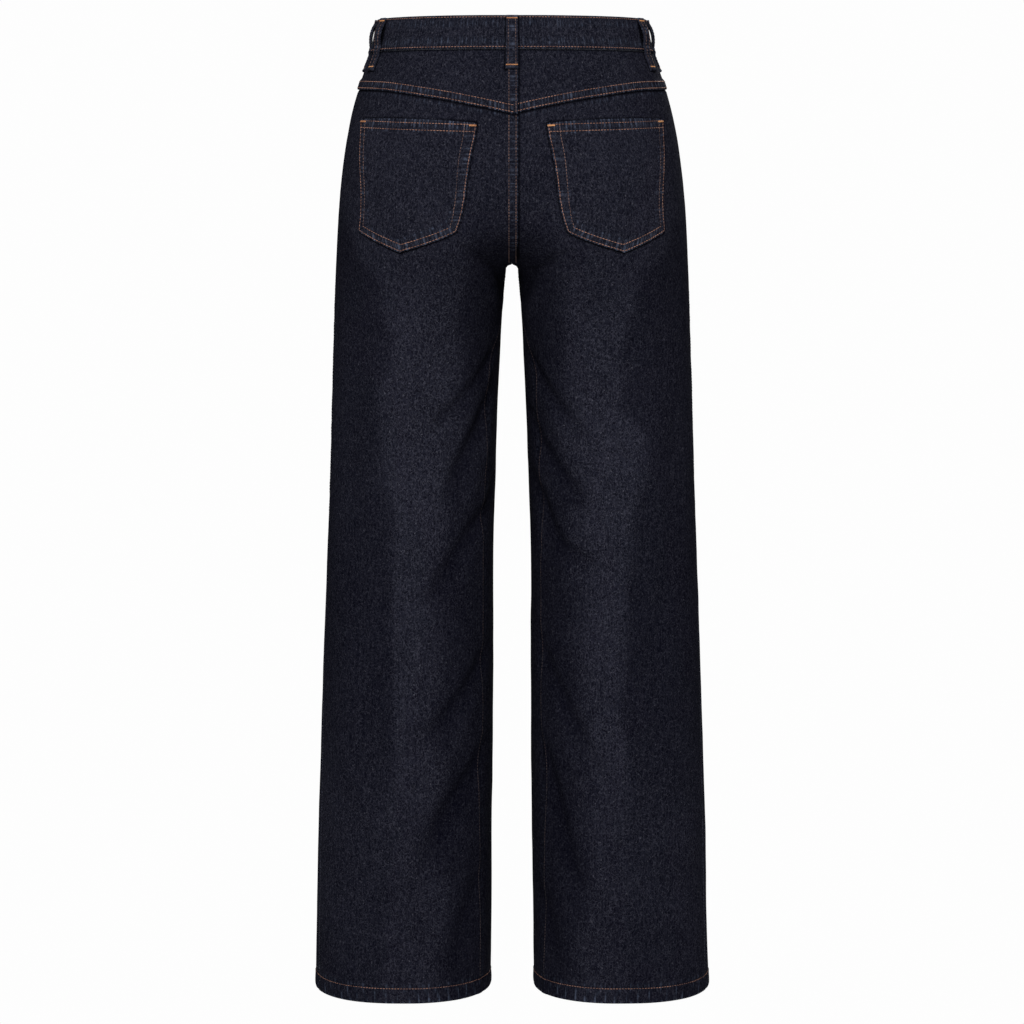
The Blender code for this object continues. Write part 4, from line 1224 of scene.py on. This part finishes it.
def pocket_bow(u, down):
    """How far a pocket's sides bow towards the centre, a little more on its inner side."""
    inner = np.clip((u - POCKET_CORNERS["top_outer"][0]) / 0.5, 0, 1)
    return (POCKET_BOW + POCKET_INNER_BOW * inner) * (1 - (2 * down - 1) ** 2)


def pocket_grid(rows, cols):
    """Places (u, z) over a patch pocket, rows from its top edge to its pointed foot."""
    corner = {name: np.array([u, z * MM]) for name, (u, z) in POCKET_CORNERS.items()}
    share, down = spaced(cols, 0.16)[:, None], spaced(rows, 0.115)[:, None, None]
    top = corner["top_inner"] * (1 - share) + corner["top_outer"] * share
    top[:, 1:] += POCKET_ARCH * (1 - (2 * share - 1) ** 2)
    # the foot turns at the point, which lies halfway across
    foot = np.where(share < 0.5,
                    corner["low_inner"] + (corner["point"] - corner["low_inner"]) * 2 * share,
                    corner["point"] + (corner["low_outer"] - corner["point"]) * (2 * share - 1))
    grid = top * (1 - down) + foot * down
    grid[..., 0] += pocket_bow(grid[..., 0], down[..., 0])
    return grid


RIM = rim_of(pocket_grid(60, 60))


def rim_distance(u, z):
    """Distance in metres from places (u, z) to the pocket's outline."""
    away = np.hypot((u[..., None] - RIM[:, 0]) * GIRTH * 0.93, z[..., None] - RIM[:, 1])
    return away.min(axis=-1)


def pocket_lift(u, z, side):
    """A pocket's outside over the seat: crowned, its doubled rim proud, puckered at its rows."""
    seed = SEEDS[side]["pocket"]
    distance = rim_distance(u, z)
    lift = POCKET_LIFT + 0.0012 * soft_step(distance / 0.045)
    lift += 0.0005 * (1 - soft_step((distance - 0.0090) / 0.0030)) + turned(distance, 0.0012, 0.0016)
    lift += ridge(distance - 0.005, 0.00030, 0.005) * puckers(u * GIRTH + z, seed, 0.0075)
    return lift + 0.00045 * soft_step(distance / 0.02) * waves(u * GIRTH / 0.020, z / 0.030, seed, 40)


def back_pocket(side):
    u, z = np.moveaxis(pocket_grid(90, 104), -1, 0)
    distance = rim_distance(u, z)
    seam = near_edge((distance, "pocket_edge"), (distance - 0.0050, "pocket_rows"),
                     (distance - 0.0114, "pocket_inside"))
    # the streaks cross the rim: along the width at the top and foot, down the sides
    to_ends = np.minimum(z[0] - z, z - z[-1])
    to_sides = np.minimum(u - u[:, -1:], u[:, :1] - u) * GIRTH
    at_ends = to_ends < to_sides
    return wall(f"denim_pocket_{side}", cloth(u, z, side, pocket_lift(u, z, side)),
                cloth(u, z, side, 0.0004), seam=seam * np.where(at_ends, 1.0, 0.7),
                along=np.where(at_ends, u * GIRTH, z), dark=PIECE_PAINTED_SHADE["pocket"])


def loop_base(z, gap):
    """How far a belt loop's inside stands over the form, by height."""
    down = WAIST_TOP - 0.0003 - z
    band = BAND_PROUD * soft_step((z - BAND_FOOT + 0.003) / 0.0025)
    start, span = (0.002, 0.050) if gap < 0.002 else (0.005, 0.024)
    bow = (gap + 0.0002) * np.sin(math.pi * np.clip((down - start) / span, 0, 1)) ** 0.8
    lap = LAP_RISE * soft_step((BAND_FOOT + 0.002 - z) / 0.006) if gap < 0.002 else 0.0
    return band + lap + SEAM_GAP + bow


def loop_lift(across, z, gap):
    """A loop's outside: rounded long edges, a flat fold along each, and a folded foot."""
    edge, down = (1 - np.abs(across)) * LOOP_WIDTH / 2, WAIST_TOP - z
    lift = loop_base(z, gap) + LOOP_CLOTH + turned(edge, 0.0012, 0.0014)
    lift += ridge(down - LOOP_LENGTH + 0.0012, 0.0004, 0.0012)
    lift -= ridge(down - 0.0030, 0.0005, 0.0016)
    lift -= ridge(down - LOOP_LENGTH + LOOP_TACK_UP, 0.0004, 0.0013)
    return lift + 0.00018 * waves(across * 1.5 + 5, z / 0.007, 99)


def loop_girth(u):
    """Length of the half section at the waist that a belt loop at u lies on."""
    return half_width(0.0, u > 1)[0]


def belt_loop(name, side, u, gap):
    """A strip from the band's top to below its foot, standing off in the middle."""
    across = np.concatenate([[-1, -0.96, -0.88, -0.78], np.linspace(-0.6, 0.6, 7), [0.78, 0.88, 0.96, 1]])
    down = np.concatenate([[0, 0.0005, 0.0015], np.linspace(0.003, LOOP_LENGTH - 0.003, 40),
                           [LOOP_LENGTH - 0.0015, LOOP_LENGTH - 0.0005, LOOP_LENGTH]])
    across, z = np.meshgrid(across, WAIST_TOP - 0.0003 - down)
    ends = turned(np.minimum(down, LOOP_LENGTH - down), 0.001, 0.0013)[:, None]
    place = u + across * (LOOP_WIDTH / 2 / loop_girth(u))
    seam = near_edge(((1 - np.abs(across)) * LOOP_WIDTH / 2, "loop_edge"),
                     (across * LOOP_WIDTH / 2, "loop_middle"),
                     ((WAIST_TOP - z) - LOOP_LENGTH + 0.0010, "loop_foot"),
                     ((WAIST_TOP - z) - 0.001, "loop_top"))
    return wall(f"denim_loop_{name}", cloth(place, z, side, loop_lift(across, z, gap) + ends),
                cloth(place, z, side, loop_base(z, gap)), seam=seam, along=z, dark=PIECE_PAINTED_SHADE["loop"])


# The waist button's profile from its middle: radius and height, in metres
BUTTON_PROFILE = (
    (0.0, 0.0), (0.0064, 0.0), (0.0066, 0.0003), (0.0066, 0.0010), (0.0080, 0.0012),
    (0.00845, 0.0016), (0.0085, 0.0020), (0.0083, 0.0025), (0.0077, 0.0028), (0.0070, 0.00285),
    (0.0066, 0.0026), (0.0061, 0.0026), (0.0057, 0.0029), (0.0050, 0.0030), (0.0044, 0.0027),
    (0.0036, 0.00255), (0.0022, 0.0026), (0.0, 0.0027),
)


def waist_button():
    """A domed jeans button with a ring and a sunk middle, turned about its own axis."""
    place = np.array([0.010 / WAIST_HALF]), np.array([(WAIST_TOP + BAND_FOOT) / 2])
    out = skin_normal(*place)[0]
    bm = bmesh.new()
    points = [bm.verts.new((radius, 0.0, height)) for radius, height in BUTTON_PROFILE]
    edges = [bm.edges.new(pair) for pair in zip(points, points[1:])]
    bmesh.ops.spin(bm, geom=points + edges, cent=(0, 0, 0), axis=(0, 0, 1),
                   angle=2 * math.pi, steps=64, use_merge=True)
    bmesh.ops.remove_doubles(bm, verts=bm.verts, dist=1e-6)
    bmesh.ops.recalc_face_normals(bm, faces=bm.faces)
    turn = Vector(out).to_track_quat("Z", "Y").to_matrix().to_4x4()
    turn.translation = skin(*place)[0] + out * (BAND_PROUD + SEAM_GAP)
    bmesh.ops.transform(bm, matrix=turn, verts=bm.verts)
    return finished("copper_button", bm, [METAL], METAL_SHARP)


def on_cloth(lift, side):
    """A surface for stitches: the outside of a piece with this lift."""
    def surface(u, z):
        return cloth(u, z, side, lift(u, z, side))
    return surface


def on_band(place, z):
    return band_cloth(place, z, band_lift(place, z))


def on_loop(side, u, gap):
    half = LOOP_WIDTH / 2 / loop_girth(u)

    def surface(at, z):
        return cloth(at, z, side, loop_lift((at - u) / half, z, gap))
    return surface


def pocket_row(insets, edges):
    """A row of stitches inside a pocket's outline, along some of its edges.

    insets gives for each edge, in the order of POCKET_CORNERS, how far inside
    it the row starts and ends. edges lists the edges that the row is sewn along.
    """
    points = np.array([(u * GIRTH, z * MM) for u, z in POCKET_CORNERS.values()])
    middle = points.mean(axis=0)
    lines = []
    for a, b, (first, last) in zip(points, np.roll(points, -1, axis=0), insets):
        along = (b - a) / np.linalg.norm(b - a)
        inward = np.array([along[1], -along[0]])
        inward *= np.sign(inward @ (middle - a))
        start = a + inward * first
        lines.append((start, b + inward * last - start))
    turns = [a + along * np.linalg.solve(np.stack([along, -other], axis=1), b - a)[0]
             for (a, along), (b, other) in zip(lines[-1:] + lines, lines)]
    top, foot = insets[0][0] / POCKET_HEIGHT, 1 - insets[2][0] / POCKET_HEIGHT
    downs = (top, top, foot, foot, foot)
    share = np.linspace(0, 1, 24)
    places = []
    for edge in edges:
        after = (edge + 1) % len(turns)
        x, z = (turns[edge] + (turns[after] - turns[edge]) * share[:, None]).T
        down = downs[edge] + (downs[after] - downs[edge]) * share
        places.append(line(x / GIRTH + pocket_bow(x / GIRTH, down), z))
    return np.concatenate(places)


def scoop_row(inset):
    """A row of stitches along the front pocket's opening."""
    angle = np.linspace(0.02, math.pi / 2 - 0.05, 60)
    to_side = (SCOOP_WIDTH + inset) * np.cos(angle)
    return line(1 - to_side / BAND_HALF, BAND_SEAM - (SCOOP_DEPTH + inset) * np.sin(angle))


def fly_row(off):
    """A row of the fly's curved stitching, from the waistband to the foot of the fly."""
    straight = np.linspace(BAND_FOOT - 0.001, FLY_FOOT + off, 40)
    angle = np.linspace(0, math.pi / 2, 20)[1:]
    x = np.concatenate([np.full_like(straight, off), off * np.cos(angle)])
    return line(x / GIRTH, np.concatenate([straight, FLY_FOOT + off * (1 - np.sin(angle))]))


def stitch_rows():
    """Every row of stitches as (middles, directions, normals), by the group it belongs to."""
    rows = {}

    def sew(group, places, surface, **spacing):
        rows.setdefault(group, []).append(row_points(places, surface, **spacing))

    both_rows = (ROW_EDGE, ROW_EDGE + ROW_GAP)
    low = HEM + HEM_DEPTH
    outseam, inseam = seam_u(low, "outseam"), seam_u(low, "inseam")
    for side, yoke_end in (("left", 2.008), ("right", 1.995)):
        back, front, over_yoke, over_pocket = (
            on_cloth(lift, side) for lift in (back_lift, front_lift, yoke_lift, pocket_lift))
        u = np.linspace(1.004, yoke_end, 160)
        for up in both_rows:
            sew("yoke", line(u, yoke_z(u) + up), over_yoke)
        for surface, start, end in ((back, outseam, inseam), (front, inseam - 2, outseam)):
            u = np.linspace(start + 0.002, end - 0.002, 160)
            sew("hem", line(u, low), surface, pitch=HEM_PITCH)
        z = np.linspace(CROTCH - 0.012, low + 0.003, 240)
        sew("inseam", line(seam_u(z, "inseam") - INSEAM_ROW / GIRTH, z), back)
        sew("outseam", line(seam_u(z, "outseam") + OUTSEAM_ROW / GIRTH, z), back)
        for insets, edges in POCKET_ROWS:
            row = row_points(pocket_row(insets, edges), over_pocket)
            steep = np.abs(row[1][:, 2]) > 0.8 * np.linalg.norm(row[1], axis=1)
            inner = steep & (len(edges) == 4)
            for group, keep in (("pocket", ~inner), ("pocket_sides", inner)):
                rows.setdefault(group, []).append([part[keep] for part in row])
        for inset in both_rows:
            sew("front", scoop_row(inset), front)
    for x in (0.0032, -0.0042):
        for start, end, count, lift in ((yoke_z(2.0) - 0.001, CROTCH + 0.005, 92, back_lift),
                                        (BAND_FOOT - 0.001, yoke_z(2.0) + 0.001, 40, yoke_lift)):
            z = np.linspace(start, end, count)
            u = 2 - np.sign(x) * centre_share(z, abs(x))
            sew("centre", line(u, z), on_cloth(lift, "left"))
    front = on_cloth(front_lift, "left")
    for off in (FLY_STITCH, FLY_STITCH - ROW_GAP):
        sew("front", fly_row(off), front)
    z = np.linspace(FLY_FOOT - 0.006, CROTCH + 0.004, 40)
    for off in (0.0018, 0.0080):
        sew("front", line(off / GIRTH, z), front)
    for z in (WAIST_TOP - 0.0021, BAND_FOOT + 0.0021):
        sew("waistband", line(np.linspace(0.0, 3.97, 700), z), on_band)
    z = np.linspace(WAIST_TOP - 0.004, WAIST_TOP - LOOP_LENGTH + LOOP_TACK_UP, 30)
    for name, side, u, gap in LOOPS:
        half = LOOP_WIDTH / 2 / loop_girth(u)
        for across in (-0.60, 0.60):
            sew("loops", line(u + across * half, z), on_loop(side, u, gap))
    return rows


def bar_tack(surface, u, z, width, height=0.0020, girth=GIRTH):
    """A bar tack: dense short threads side by side across width at place (u, z)."""
    count = max(int(width / TACK_PITCH), 3)
    across = (np.arange(count) / (count - 1) - 0.5) * width
    u, z = u + across / girth, np.full(count, z)
    middles = surface(u, z)
    directions = surface(u, z + height / 3) - surface(u, z - height / 3)
    normals = np.cross(surface(u + 0.002, z) - surface(u - 0.002, z), directions)
    return middles, directions, faced_out(normals, middles)


def bar_tacks():
    tacks = []
    for name, side, u, gap in LOOPS:
        for z in (WAIST_TOP - 0.0034, WAIST_TOP - LOOP_LENGTH + LOOP_TACK_UP):
            tacks.append(bar_tack(on_loop(side, u, gap), u, z, 0.0108, 0.0018, loop_girth(u)))
    for side in ("left", "right"):
        for corner, inward, width in POCKET_TACKS:
            u, z = POCKET_CORNERS[corner]
            over_pocket = on_cloth(pocket_lift, side)
            tacks.append(bar_tack(over_pocket, u + inward / GIRTH, z * MM - 0.0024, width))
        front = on_cloth(front_lift, side)
        tacks.append(bar_tack(front, 1 - 0.007 / GIRTH, scoop_z(0.98) - 0.0060, 0.0085))
    front = on_cloth(front_lift, "left")
    tacks.append(bar_tack(front, 0.010 / GIRTH, FLY_FOOT + 0.004, 0.0085))
    return [np.concatenate(parts) for parts in zip(*tacks)]


def buttonhole():
    """Dense stitches round the buttonhole in the waistband's left end."""
    angle = np.linspace(0, 2 * math.pi, 64, endpoint=False)

    def ring(across, up):
        place = (0.0135 + across * np.cos(angle)) / WAIST_HALF
        return on_band(place, (WAIST_TOP + BAND_FOOT) / 2 + up * np.sin(angle))
    middles = ring(0.0125, 0.0026)
    normals = np.tile(skin_normal(np.array([0.02]), np.array([0.0]))[0], (len(angle), 1))
    return middles, ring(0.0136, 0.0038) - middles, normals


def declare(piece, kind, place=""):
    """Attach piece to the root body, and hide the CAD solid that it dresses."""
    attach(piece, "root")
    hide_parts(kind + place)
    return piece


band = declare(waistband(), "waistband")
for side in ("left", "right"):
    declare(back_panel(side), "back", f"_{side}")
    declare(front_panel(side), "front", f"_{side}")
    declare(yoke(side), "yoke", f"_{side}")
    declare(back_pocket(side), "back_pocket", f"_{side}")
    declare(front_facing(side), "front_facing", f"_{side}")
declare(fly_shield(), "fly_shield", "")
for name, side, u, gap in LOOPS:
    declare(belt_loop(name, side, u, gap), "belt_loop", f"_{name}")

button = waist_button()
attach(button, "root")
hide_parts("waist_button")

# The inseam's row is copper thread darkened as painted shade of the inner thigh, and the centre back rows
# take the dull thread as painted shade on the middle of the seat; the pockets' inner side rows and the
# loops' rows take the dull thread too
THREAD_KINDS = {"inseam": "shaded_copper", "outseam": "pale", "centre": "dull", "pocket_sides": "dull",
                "loops": "dull"}
for group, rows in stitch_rows().items():
    parts = [np.concatenate(each) for each in zip(*rows)]
    look = THREAD_LOOKS[THREAD_KINDS.get(group, "copper")]
    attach(threads(f"stitches_{group}", *parts, STITCH_LENGTH, THREAD, look), "root")
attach(threads("bar_tacks", *bar_tacks(), 0.0019, 0.00062, THREAD_LOOKS["tack"]), "root")
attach(threads("buttonhole_stitches", *buttonhole(), 0.0022, 0.00055, THREAD_LOOKS["tack"]), "root")


FLOOR_DROP = 0.60
FLOOR_RADIUS = 1.8
# Area lights: name, place, aim, width and height, power
LIGHTS = (
    ("key", (0.3, 3.9, 2.2), (0.0, 0.0, -0.45), (2.2, 1.7), 215),
    ("fill", (-0.6, -3.6, 1.9), (0.0, 0.0, -0.45), (2.2, 1.7), 165),
    ("side_left", (3.0, 0.2, 0.9), (0.0, 0.0, -0.5), (1.6, 1.6), 16),
    ("side_right", (-3.0, 0.2, 0.9), (0.0, 0.0, -0.5), (1.6, 1.6), 16),
)
# The camera behind the garment: place, pitch in degrees, focal length in pixels of its frame
CAMERA_PLACE = (0.0, 4.0, 0.05)
CAMERA_PITCH = 7.97
FOCAL_PIXELS = 3731
FRAME_PIXELS = 1024
SENSOR = 36.0


def put(name, data, place):
    """An object in the scene at a place."""
    item = bpy.data.objects.new(name, data)
    item.location = place
    bpy.context.scene.collection.objects.link(item)
    return item


def pale_floor():
    """A round pale floor well below the hems, out of the photograph's frame."""
    look = Looks("pale_floor")
    grain = look.ramp(look.noise(0.02, 2.0), 0.3, 0.7)
    bm = bmesh.new()
    bmesh.ops.create_circle(bm, cap_ends=True, segments=96, radius=FLOOR_RADIUS)
    mesh = bpy.data.meshes.new("floor")
    bm.to_mesh(mesh)
    bm.free()
    mesh.materials.append(look.done(Base_Color=look.mix(grain, (0.86, 0.86, 0.86), (0.88, 0.88, 0.88)),
                                    Roughness=0.9))
    put("floor", mesh, (0, 0, HEM - FLOOR_DROP))


def studio_world():
    """White behind the object, and a softer even light on it."""
    world = bpy.data.worlds.new("studio")
    bpy.context.scene.world = world
    world.use_nodes = True
    tree = world.node_tree
    tree.nodes.clear()
    seen = add_node(tree, "Background", "Background", {"Color": (0.985, 0.985, 0.985, 1)})
    lit = add_node(tree, "Background", "Background", {"Color": (1, 1, 1, 1), "Strength": 0.15})
    to_camera = add_node(tree, "LightPath", "Is Camera Ray")
    mixed = add_node(tree, "MixShader", "Shader", {"Fac": to_camera, 1: lit, 2: seen})
    tree.links.new(mixed, tree.nodes.new("ShaderNodeOutputWorld").inputs["Surface"])


def area_light(name, place, toward, size, power):
    data = bpy.data.lights.new(name, "AREA")
    data.shape = "RECTANGLE"
    data.size, data.size_y = size
    data.energy = power
    light = put(name, data, place)
    light.visible_camera = False
    light.rotation_euler = (Vector(toward) - Vector(place)).to_track_quat("-Z", "Y").to_euler()


view = bpy.data.cameras.new("view")
view.sensor_width = SENSOR
view.lens = FOCAL_PIXELS * SENSOR / FRAME_PIXELS
camera = put("view", view, CAMERA_PLACE)
camera.rotation_euler = (math.radians(90 - CAMERA_PITCH), 0.0, math.radians(180))
bpy.context.scene.camera = camera

pale_floor()
studio_world()
for light in LIGHTS:
    area_light(*light)
bpy.context.scene.view_settings.view_transform = "Standard"
